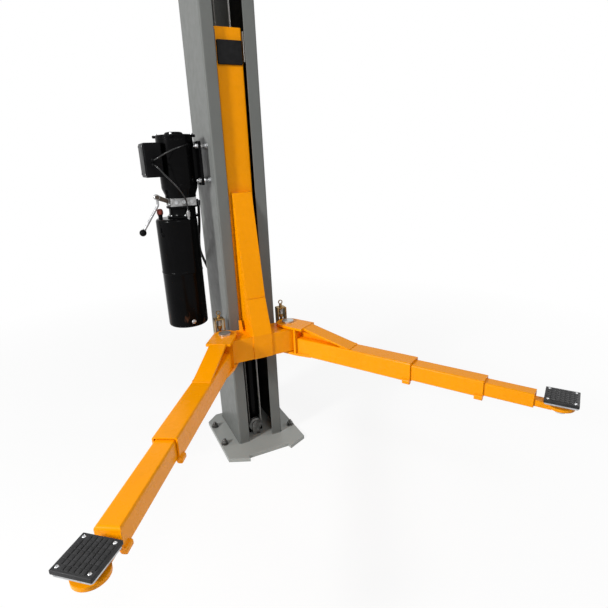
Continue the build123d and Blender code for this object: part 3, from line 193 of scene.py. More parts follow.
def hung(material, colour, rough, normal):
    """The material with those patterns on its colour, roughness and normal."""
    shader = material.node_tree.nodes["Principled BSDF"]
    for socket, value in (("Base Color", colour), ("Roughness", rough), ("Normal", normal)):
        material.node_tree.links.new(value, shader.inputs[socket])
    return material


def noise(tree, place, scale, detail=3.0, stretch=None):
    """Cloud pattern of that many waves a metre, drawn out along an axis by stretch."""
    if stretch:
        place = add(tree, "Mapping", {"Vector": place, "Scale": stretch}).outputs[0]
    return add(tree, "TexNoise", {"Vector": place, "Scale": scale, "Detail": detail}).outputs[0]


def spread(tree, value, low, high, start=0.3, end=0.7):
    """The pattern's middle part, spread over low to high."""
    sockets = {"Value": value, "From Min": start, "From Max": end, "To Min": low, "To Max": high}
    return add(tree, "MapRange", sockets).outputs[0]


def mixed(tree, factor, first, second):
    """Colour between first and second by factor; each is a colour or a node's output."""
    colours = [c if isinstance(c, bpy.types.NodeSocket) else (*c[:3], 1) for c in (first, second)]
    mix = add(tree, "Mix", {0: factor, 6: colours[0], 7: colours[1]}, data_type="RGBA")
    return mix.outputs[2]


def maths(tree, kind, first, second):
    """Two values put together by a maths node of that kind."""
    return add(tree, "Math", {0: first, 1: second}, operation=kind).outputs[0]


def times(tree, first, second):
    """Product of two patterns."""
    return maths(tree, "MULTIPLY", first, second)


def within(tree, value, low, high):
    """1 where the value lies between low and high, else 0."""
    above = maths(tree, "GREATER_THAN", value, low)
    return times(tree, above, maths(tree, "LESS_THAN", value, high))


def edges(tree, radius):
    """Rounded normal of sharp edges, and a pattern that is 1 on them and 0 on flats."""
    rounded = add(tree, "Bevel", {"Radius": radius}, samples=4).outputs[0]
    flat = add(tree, "NewGeometry").outputs["Normal"]
    dot = add(tree, "VectorMath", {0: rounded, 1: flat}, operation="DOT_PRODUCT").outputs["Value"]
    return rounded, spread(tree, dot, 1.0, 0.0, 0.80, 0.985)


def raised(tree, height, distance, normal=None):
    """Bump of that depth in metres, on top of a rounded normal where there is one."""
    sockets = {"Height": height, "Distance": distance, "Strength": 1.0}
    if normal:
        sockets["Normal"] = normal
    return add(tree, "Bump", sockets).outputs[0]


def shade(colour, by):
    """The colour made lighter or darker."""
    return tuple(min(1.0, c * by) for c in colour)


def enamel(name, paint_of, by, rougher, chip, wear, shine):
    """Sprayed enamel: slight clouds, orange peel, softened edges and rubbed corners."""
    colours = bpy.context.scene.lift_colours
    colour, rough = shade(getattr(colours, paint_of), by), colours.gloss + rougher
    material, tree, place = started(name, colour, rough, 0.0, shine)
    clouds = spread(tree, noise(tree, place, 4.5, 5), 0, 1)
    body = mixed(tree, clouds, shade(colour, 0.94), shade(colour, 1.03))
    dust = spread(tree, noise(tree, place, 38, 8), 0, 0.3, 0.60, 0.80)
    body = mixed(tree, dust, body, shade(colour, 0.80))
    rounded, rim = edges(tree, 0.0026)
    rubbed = spread(tree, noise(tree, place, 120, 6), 0, 1, 0.62 - wear, 0.70 - wear)
    body = mixed(tree, times(tree, rim, rubbed), body, chip)
    scuffs = spread(tree, noise(tree, place, 24, 7), rough * 0.85, rough * 1.2)
    peel = raised(tree, noise(tree, place, 420, 2), 0.00006, rounded)
    return hung(material, body, scuffs, peel)


def column_enamel():
    """Grey paint of the column, its inside painted dark: painted shade of the hollow column."""
    material = enamel("column enamel", **GREY)
    tree = material.node_tree
    colour = tree.nodes["Principled BSDF"].inputs["Base Color"]
    place = add(tree, "TexCoord").outputs["Object"]
    spot = add(tree, "SeparateXYZ", {0: place}).outputs
    # inside the column the paint turns near black, streaked up and down: painted shade
    inside = [within(tree, spot[0], *COLUMN_INSIDE_X), within(tree, spot[1], *COLUMN_INSIDE_Y)]
    streaks = spread(tree, noise(tree, place, 12, 6, (1.0, 1.0, 0.12)), 0, 1)
    painted_shade_inside = mixed(tree, streaks, (0.030, 0.029, 0.028), (0.012, 0.011, 0.010))
    with_painted_shade_inside = mixed(tree, times(tree, *inside), colour.links[0].from_socket, painted_shade_inside)
    tree.links.new(with_painted_shade_inside, colour)
    return material


def black_enamel():
    """Black paint of the motor, tank and cylinder, with rust at the foot of the tank."""
    colour = bpy.context.scene.lift_colours.black
    material, tree, place = started("black enamel", colour, 0.16, 0.0, 0.05)
    clouds = spread(tree, noise(tree, place, 9, 6), 0, 1)
    body = mixed(tree, clouds, shade(colour, 0.8), shade(colour, 1.5))
    marks = noise(tree, place, 34, 9, (1.0, 1.0, 0.35))
    spot = add(tree, "SeparateXYZ", {0: place}).outputs
    low_down = spread(tree, spot[2], 1, 0, *TANK_FOOT_Z)
    low_down = times(tree, low_down, within(tree, spot[0], *TANK_FOOT_X))
    specks = times(tree, low_down, spread(tree, marks, 0, 0.75, 0.60, 0.68))
    body = mixed(tree, specks, body, (0.075, 0.030, 0.014))
    rounded, rim = edges(tree, 0.0020)
    rubbed = spread(tree, noise(tree, place, 130, 6), 0, 0.8, 0.60, 0.68)
    body = mixed(tree, times(tree, rim, rubbed), body, (0.10, 0.085, 0.075))
    peel = raised(tree, noise(tree, place, 300, 3), 0.00008, rounded)
    return hung(material, body, spread(tree, marks, 0.11, 0.26, 0.35, 0.7), peel)


def zinc_coat(name, light, dark, soil, grain_size):
    """Zinc coat with its flat grains, each a little lighter or duller than the next."""
    material, tree, place = started(name, light, 0.38, 1.0)
    grain = add(tree, "TexVoronoi", {"Vector": place, "Scale": grain_size}).outputs["Color"]
    tone = add(tree, "SeparateColor", {0: grain}).outputs[0]
    dull = noise(tree, place, 30, 6)
    bright = mixed(tree, tone, shade(light, 0.82), light)
    soiled = mixed(tree, spread(tree, dull, 0, soil, 0.42, 0.72), bright, dark)
    relief = raised(tree, dull, 0.00008, edges(tree, 0.0008)[0])
    return hung(material, soiled, spread(tree, tone, 0.28, 0.48, 0, 1), relief)


def mottled(name, plain, cloud, tones, roughs, depth, radius=0.0, part=(0, 1), relief=None):
    """A material with one cloud pattern in its colour, roughness and, if no other, its relief."""
    material, tree, place = started(name, *plain)
    clouds = noise(tree, place, *cloud)
    toned = mixed(tree, spread(tree, clouds, *part), *tones)
    rounded = edges(tree, radius)[0] if radius else None
    normal = raised(tree, relief(tree, place) if relief else clouds, depth, rounded)
    return hung(material, toned, spread(tree, clouds, *roughs), normal)


def fine_wires(tree, place):
    """Ridges of the single wires in a strand."""
    return add(tree, "TexWave", {"Vector": place, "Scale": 420.0, "Distortion": 3.0}).outputs[1]


def spark_grain(tree, place):
    """Fine pits of a spark-eroded mould."""
    return add(tree, "TexVoronoi", {"Vector": place, "Scale": 1300.0}).outputs["Distance"]


def wire(name, light, dark):
    """Drawn wire of a rope: strands with fine wires and dark lubricant in the valleys."""
    return mottled(
        name, plain=(light, 0.36, 0.85), cloud=(140, 5), tones=(light, dark),
        roughs=(0.30, 0.50), depth=0.00015, part=(0, 0.7), relief=fine_wires,
    )


def rubber(name, dust):
    """Moulded rubber: matt, faintly grained, lighter the more dust lies on it."""
    colour = shade(bpy.context.scene.lift_colours.rubber, dust)
    return mottled(
        name, plain=(colour, 0.55, 0.0, 0.12 * dust), cloud=(45, 8),
        tones=(colour, shade(colour, 2.4)), roughs=(0.42, 0.70), depth=0.00012, radius=0.0007,
        part=(0, 1, 0.4, 0.8), relief=lambda tree, place: noise(tree, place, 900, 3),
    )


def worn_chrome():
    """Plated lever, its shine dulled by hands, with brown pits."""
    material, tree, place = started("worn plating", (0.44, 0.44, 0.45), 0.24, 1.0)
    haze = noise(tree, place, 48, 6)
    pits = spread(tree, noise(tree, place, 130, 5), 0, 0.6, 0.68, 0.76)
    toned = mixed(tree, spread(tree, haze, 0, 1), (0.36, 0.36, 0.37), (0.50, 0.50, 0.51))
    pitted = mixed(tree, pits, toned, (0.14, 0.09, 0.06))
    relief = raised(tree, haze, 0.00002, edges(tree, 0.0008)[0])
    return hung(material, pitted, spread(tree, haze, 0.18, 0.30), relief)


def machined_aluminium():
    """Milled block with a dull, grainy skin, and the brown casting that carries the lever."""
    material, tree, place = started("machined aluminium", (0.36, 0.36, 0.36), 0.40, 1.0)
    cutter = noise(tree, place, 70, 4, (1, 1, 14))
    skin = noise(tree, place, 95, 8)
    body = mixed(tree, spread(tree, skin, 0, 1), (0.17, 0.17, 0.17), (0.38, 0.38, 0.38))
    stain = spread(tree, noise(tree, place, 26, 5), 0, 0.7, 0.52, 0.72)
    body = mixed(tree, stain, body, (0.12, 0.11, 0.10))
    across = add(tree, "SeparateXYZ", {0: place}).outputs[0]
    bracket = maths(tree, "LESS_THAN", across, LEVER_BRACKET_X)
    body = mixed(tree, bracket, body, (0.075, 0.060, 0.048))
    # all edges painted pale: a painted highlight along the broken edges
    rounded, rim = edges(tree, 0.0012)
    body = mixed(tree, rim, body, (0.66, 0.66, 0.66))
    relief = raised(tree, cutter, 0.00006, rounded)
    return hung(material, body, spread(tree, skin, 0.32, 0.50), relief)


GREY = {
    "paint_of": "grey", "by": 1.0, "rougher": 0.06, "chip": (0.34, 0.34, 0.34), "wear": 0.03,
    "shine": 0.06,
}
FINISHES = {
    "orange_paint": partial(
        enamel, "orange enamel", paint_of="orange", by=1.0, rougher=0.0,
        chip=(0.34, 0.20, 0.08), wear=0.02, shine=0.13,
    ),
    "grey_paint": partial(enamel, "grey enamel", **GREY),
    "column_paint": column_enamel,
    # paler than the grey paint: painted light, a lit copy of it for the base's upward face
    "base_paint": partial(
        enamel, "base enamel", paint_of="grey", by=2.1, rougher=0.12,
        chip=(0.36, 0.36, 0.36), wear=0.04, shine=0.28,
    ),
    "black_paint": black_enamel,
    "zinc": partial(
        zinc_coat, "galvanised zinc", (0.60, 0.61, 0.62), (0.22, 0.21, 0.20), 0.6, 95.0
    ),
    "weathered_zinc": partial(
        zinc_coat, "weathered zinc", (0.17, 0.17, 0.165), (0.05, 0.042, 0.034), 0.9, 110.0
    ),
    "yellow_zinc": partial(
        zinc_coat, "yellow zinc", (0.40, 0.27, 0.10), (0.10, 0.060, 0.028), 0.9, 120.0
    ),
    "cast_iron": partial(
        zinc_coat, "cast iron", (0.27, 0.27, 0.265), (0.045, 0.042, 0.040), 1.0, 260.0
    ),
    "dark_steel": partial(
        zinc_coat, "blackened steel", (0.085, 0.085, 0.09), (0.030, 0.028, 0.026), 0.8, 80.0
    ),
    # under a film of dark oil
    "oiled_steel": partial(
        mottled, "oiled steel", plain=((0.16, 0.16, 0.16), 0.35, 0.9), cloud=(60, 6),
        tones=((0.22, 0.22, 0.22), (0.060, 0.054, 0.048)), roughs=(0.46, 0.24),
        depth=0.00008, radius=0.0006,
    ),
    "rope_wire": partial(wire, "rope wire", (0.42, 0.42, 0.40), (0.16, 0.15, 0.14)),
    "greased_wire": partial(
        wire, "greased rope wire", (0.17, 0.165, 0.155), (0.045, 0.040, 0.034)
    ),
    # with the faint lines that its seal leaves along the rod
    "chromed_rod": partial(
        mottled, "hard chrome", plain=((0.62, 0.63, 0.65), 0.10, 1.0),
        cloud=(40, 5, (18, 18, 0.6)), tones=((0.52, 0.53, 0.55), (0.70, 0.71, 0.72)),
        roughs=(0.06, 0.15), depth=0.00001,
    ),
    "worn_chrome": worn_chrome,
    "cast_aluminium": machined_aluminium,
    "black_rubber": partial(rubber, "black rubber", 0.8),
    "dusty_rubber": partial(rubber, "dusty rubber", 2.0),
    # smooth vinyl, glossier than the rubber
    "cable_jacket": partial(
        mottled, "cable jacket", plain=((0.006, 0.006, 0.0065), 0.22, 0.0, 0.45),
        cloud=(60, 5), tones=((0.004, 0.004, 0.0045), (0.010, 0.010, 0.0105)),
        roughs=(0.16, 0.30), depth=0.00008,
    ),
    # dark brown: painted shade of the slot that the slider blocks run in
    "nylon": partial(
        mottled, "cast nylon", plain=((0.050, 0.046, 0.038), 0.42, 0.0, 0.3), cloud=(22, 6),
        tones=((0.050, 0.046, 0.038), (0.018, 0.014, 0.010)), roughs=(0.50, 0.30),
        depth=0.0001, radius=0.001, part=(0, 0.8, 0.5, 0.75),
    ),
    "black_plastic": partial(
        mottled, "black plastic", plain=((0.004, 0.004, 0.0045), 0.34, 0.0, 0.04),
        cloud=(18, 5), tones=((0.003, 0.003, 0.0034), (0.006, 0.006, 0.0065)),
        roughs=(0.28, 0.42), depth=0.00005, radius=0.0012, relief=spark_grain,
    ),
    "red_plastic": partial(
        mottled, "red plastic", plain=((0.20, 0.030, 0.018), 0.40, 0.0, 0.3), cloud=(60, 5),
        tones=((0.24, 0.038, 0.020), (0.12, 0.018, 0.012)), roughs=(0.34, 0.50),
        depth=0.00006, radius=0.0008,
    ),
}
MIXED = {}


def finish(name):
    """The material of that finish, mixed once."""
    if name not in MIXED:
        MIXED[name] = FINISHES[name]()
    return MIXED[name]


def nothing_selected():
    """Deselects everything in object mode."""
    if bpy.context.mode != "OBJECT":
        bpy.ops.object.mode_set(mode="OBJECT")
    bpy.ops.object.select_all(action="DESELECT")


def take_up(piece):
    """Makes the piece the one that operators act on."""
    nothing_selected()
    piece.select_set(True)
    bpy.context.view_layer.objects.active = piece


def named(name):
    """The active object, under its own name."""
    piece = bpy.context.object
    piece.name = name
    piece.data.name = name
    return piece


def fixed(name):
    """The object just added, named, its place, turn and size applied."""
    piece = named(name)
    take_up(piece)
    bpy.ops.object.transform_apply(location=True, rotation=True, scale=True)
    return piece


def applied(piece, kind, **settings):
    """A modifier set as given and applied."""
    take_up(piece)
    modifier = piece.modifiers.new(kind.title(), kind)
    for key, value in settings.items():
        setattr(modifier, key, value)
    bpy.ops.object.modifier_apply(modifier=modifier.name)
    return piece


def softened(piece, width, segments=2, angle=30):
    """Edges sharper than angle get a small round."""
    return applied(
        piece, "BEVEL", width=width, segments=segments, limit_method="ANGLE",
        angle_limit=math.radians(angle),
    )


def smoothed(piece, angle=40):
    """Smooth shading, with creases kept at edges sharper than angle."""
    take_up(piece)
    bpy.ops.object.shade_smooth_by_angle(angle=math.radians(angle))
    return piece


def placed(piece, at, way=(0, 0, 1), turn=0.0):
    """Turns the piece about its own Z, points that Z along way, moves it and applies both."""
    take_up(piece)
    aim = Vector(way).to_track_quat("Z", "Y").to_matrix().to_4x4()
    piece.matrix_world = Matrix.Translation(at) @ aim @ Matrix.Rotation(turn, 4, "Z")
    bpy.ops.object.transform_apply(location=True, rotation=True, scale=True)
    return piece


def rowed(piece, count, step):
    """The piece repeated upwards, one every step."""
    return applied(
        piece, "ARRAY", count=count, use_relative_offset=False, use_constant_offset=True,
        constant_offset_displace=(0, 0, step),
    )


def joined(pieces, name):
    """Several objects as one."""
    nothing_selected()
    for piece in pieces:
        piece.select_set(True)
    bpy.context.view_layer.objects.active = pieces[0]
    if len(pieces) > 1:
        bpy.ops.object.join()
    return named(name)


def whole(pieces, name):
    """Several objects as one, its flats and rounds told apart."""
    return smoothed(joined(pieces, name), 35)


def dressed(piece, look, body, nodes=()):
    """Finish, body and the CAD nodes that the piece stands for."""
    piece.data.materials.clear()
    piece.data.materials.append(finish(look))
    if body:
        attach(piece, body)
    if nodes:
        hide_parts(*nodes)
    return piece


def copy_of(piece, name):
    """A copy with its own mesh."""
    take_up(piece)
    bpy.ops.object.duplicate(linked=False)
    return named(name)


def edited(*steps):
    """Runs edit mode operators on the active piece, each on everything selected."""
    bpy.ops.object.mode_set(mode="EDIT")
    for step in steps:
        bpy.ops.mesh.select_all(action="SELECT")
        step()
    bpy.ops.object.mode_set(mode="OBJECT")


def outwards():
    """Turns the normals out."""
    bpy.ops.mesh.normals_make_consistent(inside=False)


def turned(name, profile, steps=64):
    """A turned piece: one point drawn through the profile's radii and heights, then spun."""
    nothing_selected()
    bpy.ops.mesh.primitive_plane_add(size=0.01, location=(0, 0, 0))
    piece = named(name)
    bpy.ops.object.mode_set(mode="EDIT")
    bpy.ops.mesh.select_all(action="SELECT")
    bpy.ops.mesh.merge(type="CENTER")
    bpy.ops.transform.translate(value=(profile[0][0], 0, profile[0][1]))
    for (last_r, last_z), (r, z) in zip(profile, profile[1:]):
        bpy.ops.mesh.extrude_region_move(
            TRANSFORM_OT_translate={"value": (r - last_r, 0, z - last_z)}
        )
    edited(
        partial(bpy.ops.mesh.spin, steps=steps, angle=math.tau, center=(0, 0, 0), axis=(0, 0, 1)),
        partial(bpy.ops.mesh.remove_doubles, threshold=0.00001),
        outwards,
    )
    return piece


def block(name, low, high, round_by=0.001, segments=2):
    """A machined block between two corners, with its edges broken."""
    nothing_selected()
    low, high = Vector(low), Vector(high)
    bpy.ops.mesh.primitive_cube_add(size=1, location=(low + high) / 2, scale=high - low)
    return applied(
        fixed(name), "BEVEL", width=round_by, segments=segments, limit_method="NONE"
    )


def hexagon(name, across, height, chamfer=0.0012):
    """A hexagon head or nut that stands on Z 0, chamfered at its corners."""
    nothing_selected()
    radius = across / 2 / math.cos(math.pi / 6)
    bpy.ops.mesh.primitive_cylinder_add(
        vertices=6, radius=radius, depth=height, location=(0, 0, height / 2)
    )
    return softened(fixed(name), chamfer, 2)


def cross_bar(name, sides, radius, depth, z=0.0):
    """A plain cylinder that lies along X, at the height z."""
    nothing_selected()
    bpy.ops.mesh.primitive_cylinder_add(
        vertices=sides, radius=radius, depth=depth, location=(0, 0, z),
        rotation=(0, math.pi / 2, 0),
    )
    return fixed(name)


def thread(name, radius, length, pitch=0.0018):
    """A threaded stud that stands on Z 0."""
    profile, z = [(0.0, 0.0)], 0.0
    while z < length - 0.003:
        profile += [(radius, z + 0.0004), (radius * 0.88, z + 0.0012)]
        z += pitch
    profile += [(radius * 0.88, length - 0.001), (radius * 0.7, length), (0.0, length)]
    return turned(name, profile, 24)


def washer(name, radius, thick):
    """A washer that stands on Z 0, its upper edge broken."""
    ring = [(0.0, 0.0), (radius, 0.0), (radius, thick * 0.8), (radius * 0.97, thick), (0.0, thick)]
    return turned(name, ring, 32)


def cap_screw(name, radius, height):
    """Socket head screw that stands on Z 0, its socket cut into the head."""
    profile = [
        (0.0, 0.0), (radius, 0.0), (radius, height * 0.85), (radius * 0.88, height),
        (radius * 0.5, height), (radius * 0.46, height * 0.45), (0.0, height * 0.4),
    ]
    return smoothed(turned(name, profile, 24), 35)


def screw_set(name, spots, radius, height, way=(0, 0, 1)):
    """Equal cap screws of the stand at those spots, as one zinc piece."""
    screws = []
    for index, at in enumerate(spots):
        screws.append(placed(cap_screw(f"{name}_{index}", radius, height), at, way))
    return dressed(joined(screws, name), "zinc", "stand")


def weld(name, runs, size):
    """Weld beads along straight runs, each a row of overlapping ripples."""
    beads = []
    for index, (start, end) in enumerate(runs):
        start, end = Vector(start), Vector(end)
        count = max(2, int((end - start).length / (size * 0.95)))
        nothing_selected()
        bpy.ops.mesh.primitive_uv_sphere_add(
            segments=8, ring_count=4, radius=1, location=(0, 0, 0), scale=(size, size, size * 0.85)
        )
        bead = rowed(fixed(f"{name}_{index}"), count, (end - start).length / count)
        beads.append(placed(bead, start, end - start))
    return smoothed(joined(beads, name), 60)


def around(x, radius, turn, z):
    """Point on a circle round the power unit's upright axis at x."""
    return Vector((x + radius * math.cos(turn), UNIT_Y + radius * math.sin(turn), z))


def upright(name, profile, steps, crease, x):
    """A turned piece on the power unit's upright axis at x."""
    return placed(smoothed(turned(name, profile, steps), crease), (x, UNIT_Y, 0))


def arm_spot(arm, along, across, z):
    """Point on an arm: along it from its pivot, across it, and its height."""
    turn = math.radians(arm["swing"])
    ahead = Vector((arm["side"] * math.sin(turn), -math.cos(turn), 0))
    over = Vector((-ahead.y, ahead.x, 0))
    pivot = Vector((arm["side"] * PIVOT_X, PIVOT_Y, 0))
    return pivot + ahead * along + over * across + Vector((0, 0, z))


def arm_way(arm):
    """Direction of an arm on the plan, as an angle from X."""
    along = arm_spot(arm, 1, 0, 0) - arm_spot(arm, 0, 0, 0)
    return math.atan2(along.y, along.x)


def curve(name, radius, ring):
    """A curve without points yet, round in section and as fine as ring."""
    line = bpy.data.curves.new(name, "CURVE")
    line.dimensions = "3D"
    line.bevel_depth = radius
    line.bevel_resolution = ring
    line.use_fill_caps = radius > 0
    piece = bpy.data.objects.new(name, line)
    bpy.context.scene.collection.objects.link(piece)
    return piece


def route(name, points, radius=0.0):
    """Smooth curve with the route's points as its control points."""
    piece = curve(name, radius, 5)
    piece.data.resolution_u = 24
    spline = piece.data.splines.new("NURBS")
    spline.points.add(len(points) - 1)
    for point, spot in zip(spline.points, points):
        point.co = (*spot, 1)
    spline.order_u = 3
    spline.use_endpoint_u = True
    return piece


def meshed(piece):
    """A curve made into a mesh."""
    take_up(piece)
    bpy.ops.object.convert(target="MESH")
    return bpy.context.object


def line_of(points):
    """Points read from a route's smooth curve."""
    guide = route("guide", points)
    bpy.context.view_layer.update()
    mesh = bpy.data.meshes.new_from_object(guide)
    spots = [vertex.co.copy() for vertex in mesh.vertices]
    bpy.data.objects.remove(guide)
    bpy.data.meshes.remove(mesh)
    return spots


def even_spots(spots, step):
    """The same line with a point at every step."""
    even, due = [spots[0]], step
    for here, there in zip(spots, spots[1:]):
        length = (there - here).length
        while due <= length:
            even.append(here.lerp(there, due / length))
            due += step
        due -= length
    return even


def stranded(name, points, radius, lay):
    """Wire rope of six strands laid round a core, along the route's smooth curve."""
    spots = even_spots(line_of(points), lay / SPOTS_A_LAY)
    piece = curve(name, radius * 0.345, 1)
    side = Vector((1, 0, 0)) if abs(points[0][0] - points[-1][0]) < 0.001 else Vector((0, 1, 0))
    # the last one is the straight core
    for strand in range(STRANDS + 1):
        spline = piece.data.splines.new("POLY")
        spline.points.add(len(spots) - 1)
        for index, spot in enumerate(spots):
            ahead = (spots[min(index + 1, len(spots) - 1)] - spots[max(index - 1, 0)]).normalized()
            other = ahead.cross(side).normalized()
            turn = math.tau * (index / SPOTS_A_LAY + strand / STRANDS)
            out = radius * 0.655 if strand < STRANDS else 0.0
            away = (side * math.cos(turn) + other * math.sin(turn)) * out
            spline.points[index].co = (*(spot + away), 1)
    return smoothed(meshed(piece), 60)


class LIFT_OT_frame(bpy.types.Operator):
    """Gives every CAD node its finish"""

    bl_idname = "lift.frame"
    bl_label = "CAD nodes"

    def execute(self, context):
        looks = {}
        for slot in frame["record"]["materials"]:
            looks.update({node: slot["slot"] for node in slot.get("nodes", [])})
        looks.update({
            "hose_fittings": "dark_steel",
            "base_sheave": "cast_iron",
            "base_sheave_bracket": "cast_iron",
            "base_plate": "base_paint",
            "column": "column_paint",
            "restraint_bracket_left": "yellow_zinc",
            "restraint_bracket_right": "yellow_zinc",
            # the pins take the yellow zinc for its warm tone: a painted reflection of the orange
            # paint round them
            "restraint_pin_left": "yellow_zinc",
            "restraint_pin_right": "yellow_zinc",
        })
        for name, node in NODES.items():
            look = looks.get(name) or node.data.materials[0].name.split(".")[0]
            if look not in FINISHES:
                raise RuntimeError(f"no finish for {name}: {look}")
            for index in range(len(node.data.materials)):
                node.data.materials[index] = finish(look)
        return {"FINISHED"}


class LIFT_OT_tank(bpy.types.Operator):
    """Oil tank with its rolled seam, neck, plugs and filler cap"""

    bl_idname = "lift.tank"
    bl_label = "Oil tank"

    def execute(self, context):
        profile = [
            (0.0, 0.7308), (0.062, 0.7298), (0.079, 0.7274), (0.0865, 0.7270), (0.0922, 0.7288),
            (0.0956, 0.7322), (0.0968, 0.7362), (TANK_ROUND, 0.7410), (TANK_ROUND, 0.9985),
            (0.0976, 1.0003), (0.0987, 1.0012), (0.0987, 1.0068), (0.0976, 1.0077),
            (TANK_ROUND, 1.0095), (TANK_ROUND, 1.2460), (0.0965, 1.2520), (0.0945, 1.2570),
            (0.0910, 1.2602), (0.0860, 1.2617), (0.080, TANK_TOP), (0.0, TANK_TOP),
        ]
        tank = upright("oil_tank", profile, 96, 50, TANK_X)
        dressed(tank, "black_paint", "stand", ["tank"])
        neck = [
            (0.0, TANK_TOP), (0.071, TANK_TOP), (0.0725, 1.2635), (0.0725, 1.2710), (0.071, 1.2725),
            (0.064, 1.274), (0.0625, 1.2775), (0.0625, 1.3030), (0.064, 1.3065), (0.071, 1.308),
            (0.0725, 1.3095), (0.0725, 1.3165), (0.071, 1.318), (0.0, 1.318),
        ]
        neck = upright("tank_neck_casting", neck, 80, 35, MOTOR_X)
        dressed(neck, "black_paint", "stand", ["tank_neck"])
        turns = [math.radians(28 + 60 * index) for index in range(6)]
        spots = [around(MOTOR_X, 0.0676, turn, 1.2720) for turn in turns]
        screw_set("neck_screws", spots, 0.0036, 0.006)
        plug = [
            (0.0, 1.256), (0.0070, 1.256), (0.0070, 1.271), (0.0095, 1.2715), (0.0095, 1.278),
            (0.0105, 1.279), (0.0105, 1.290), (0.0095, 1.291), (0.0078, 1.292), (0.0072, 1.2975),
            (0.0, 1.298),
        ]
        plug_x, plug_y, _ = VALVE_CABLE[-1]
        plug = placed(turned("valve_plug", plug, 32), (plug_x, plug_y, 0))
        spigot = turned("valve_spigot", [(0, 0), (0.0058, 0), (0.0058, 0.018), (0, 0.018)], 24)
        out = Vector((plug_x - MOTOR_X, plug_y - UNIT_Y, 0)).normalized()
        placed(spigot, Vector((MOTOR_X, UNIT_Y, 1.2835)) + out * 0.0605, out)
        plug = whole([plug, spigot], "valve_plug")
        dressed(plug, "cast_aluminium", "stand")
        # drain plug low on the right and a level plug high on the left, square to the shell
        flange = [(0, 0), (0.011, 0), (0.011, 0.0035), (0.010, 0.0045), (0, 0.0045)]
        for name, angle, z, look in (
            ("drain_plug", -86, 0.757, "zinc"), ("level_plug", -148, 1.190, "black_plastic"),
        ):
            at = around(TANK_X, 0.0950, math.radians(angle), z)
            seat = turned(name + "_flange", flange, 32)
            head = placed(hexagon(name + "_head", 0.013, 0.006, 0.0008), (0, 0, 0.0040))
            plug = whole([seat, head], name)
            dressed(placed(plug, at, at - Vector((TANK_X, UNIT_Y, z))), look, "stand")
        collar = [
            (0.0, TANK_TOP), (0.010, TANK_TOP), (0.010, 1.278), (0.0118, 1.2785), (0.0118, 1.283),
            (0.0, 1.283),
        ]
        collar = upright("filler_neck", collar, 40, 30, FILLER_X)
        dressed(collar, "black_plastic", "stand")
        dome = [
            (0.0, 1.2826), (0.0118, 1.2826), (0.0138, 1.2838), (0.0146, 1.2860), (0.0146, 1.2960),
            (0.0140, 1.3000), (0.0124, 1.3040), (0.0094, 1.3070), (0.0052, 1.3086), (0.0, 1.3090),
        ]
        cap = upright("oil_filler_cap", dome, 40, 40, FILLER_X)
        dressed(cap, "red_plastic", "stand", ["filler_cap"])
        return {"FINISHED"}


class LIFT_OT_motor(bpy.types.Operator):
    """Motor shell and end with their screws, the control box's lid and the cable glands"""

    bl_idname = "lift.motor"
    bl_label = "Motor"

    def execute(self, context):
        profile = [
            (0.0, 1.355), (0.0710, 1.355), (0.072, 1.356), (0.072, 1.369), (0.0732, 1.3715),
            (0.0812, 1.3925), (0.0832, 1.3980), (MOTOR_ROUND, 1.4040), (MOTOR_ROUND, 1.4150),
            (0.0834, 1.4156), (0.0834, 1.4174), (MOTOR_ROUND, 1.4180), (MOTOR_ROUND, 1.6110),
            (0.0834, 1.6116), (0.0834, 1.6134), (MOTOR_ROUND, 1.6140), (MOTOR_ROUND, MOTOR_TOP),
            (0.0, MOTOR_TOP),
        ]
        shell = placed(turned("motor_shell", profile, 96), (MOTOR_X, UNIT_Y, 0))
        start, before = Vector(MOTOR_CABLE[-1]), Vector(MOTOR_CABLE[-2])
        boot = [
            (0.0, 0.0), (0.0042, 0.0), (0.0062, 0.002), (0.0070, 0.005), (0.0062, 0.006),
            (0.0070, 0.007), (0.0070, 0.016), (0.0, 0.016),
        ]
        boot = placed(turned("cable_boot", boot, 24), start, start - before)
        shell = whole([shell, boot], "motor_shell")
        dressed(shell, "black_paint", "stand", ["motor"])
        spots = [around(MOTOR_X, 0.0800, turn, 1.635) for turn in EAR_TURNS]
        screw_set("motor_ear_screws", spots, 0.0060, 0.007)
        dome = [
            (0.0, MOTOR_TOP), (0.0835, MOTOR_TOP), (MOTOR_ROUND, 1.6225), (MOTOR_ROUND, 1.6335),
            (0.0825, 1.635), (0.060, 1.635), (0.047, 1.6356), (0.043, 1.6375), (0.0405, 1.6425),
            (0.036, 1.6464), (0.028, 1.648), (0.0, 1.648),
        ]
        end = [placed(turned("motor_end", dome, 80), (MOTOR_X, UNIT_Y, 0))]
        low, high = (0.060, -0.011, 1.6225), (0.0965, 0.011, 1.6345)
        for index, turn in enumerate(EAR_TURNS):
            ear = block(f"motor_ear_{index}", low, high, 0.003, 3)
            end.append(placed(ear, (MOTOR_X, UNIT_Y, 0), turn=turn))
        end = whole(end, "motor_end")
        dressed(end, "black_paint", "stand", ["motor_cap"])
        # the control box's lid: a shallow cover on the left with a screw at each corner
        low, high = (-0.4150, -0.088, 1.461), (-0.4115, 0.048, 1.595)
        lid = block("control_box_lid", low, high, 0.0014, 3)
        dressed(smoothed(lid), "black_plastic", "stand")
        spots = [(-0.4148, y, z) for z in (1.468, 1.588) for y in (-0.081, 0.041)]
        screw_set("lid_screws", spots, 0.0032, 0.0022, (-1, 0, 0))
        glands = []
        seal = [
            (0.0, 0.0), (0.0088, 0.0), (0.0088, 0.0045), (0.0080, 0.0065), (0.0050, 0.0095),
            (0.0036, 0.0100), (0, 0.01),
        ]
        for index, cable in enumerate((MOTOR_CABLE, VALVE_CABLE)):
            nut = hexagon(f"gland_nut_{index}", 0.0175, 0.005, 0.0006)
            ring = turned(f"gland_ring_{index}", seal, 28)
            for piece, behind in ((nut, 0.0095), (ring, 0.0050)):
                at = Vector(cable[0]) + Vector((0, behind, 0))
                glands.append(placed(piece, at, (0, -1, 0)))
        dressed(whole(glands, "cable_glands"), "black_plastic", "stand")
        return {"FINISHED"}


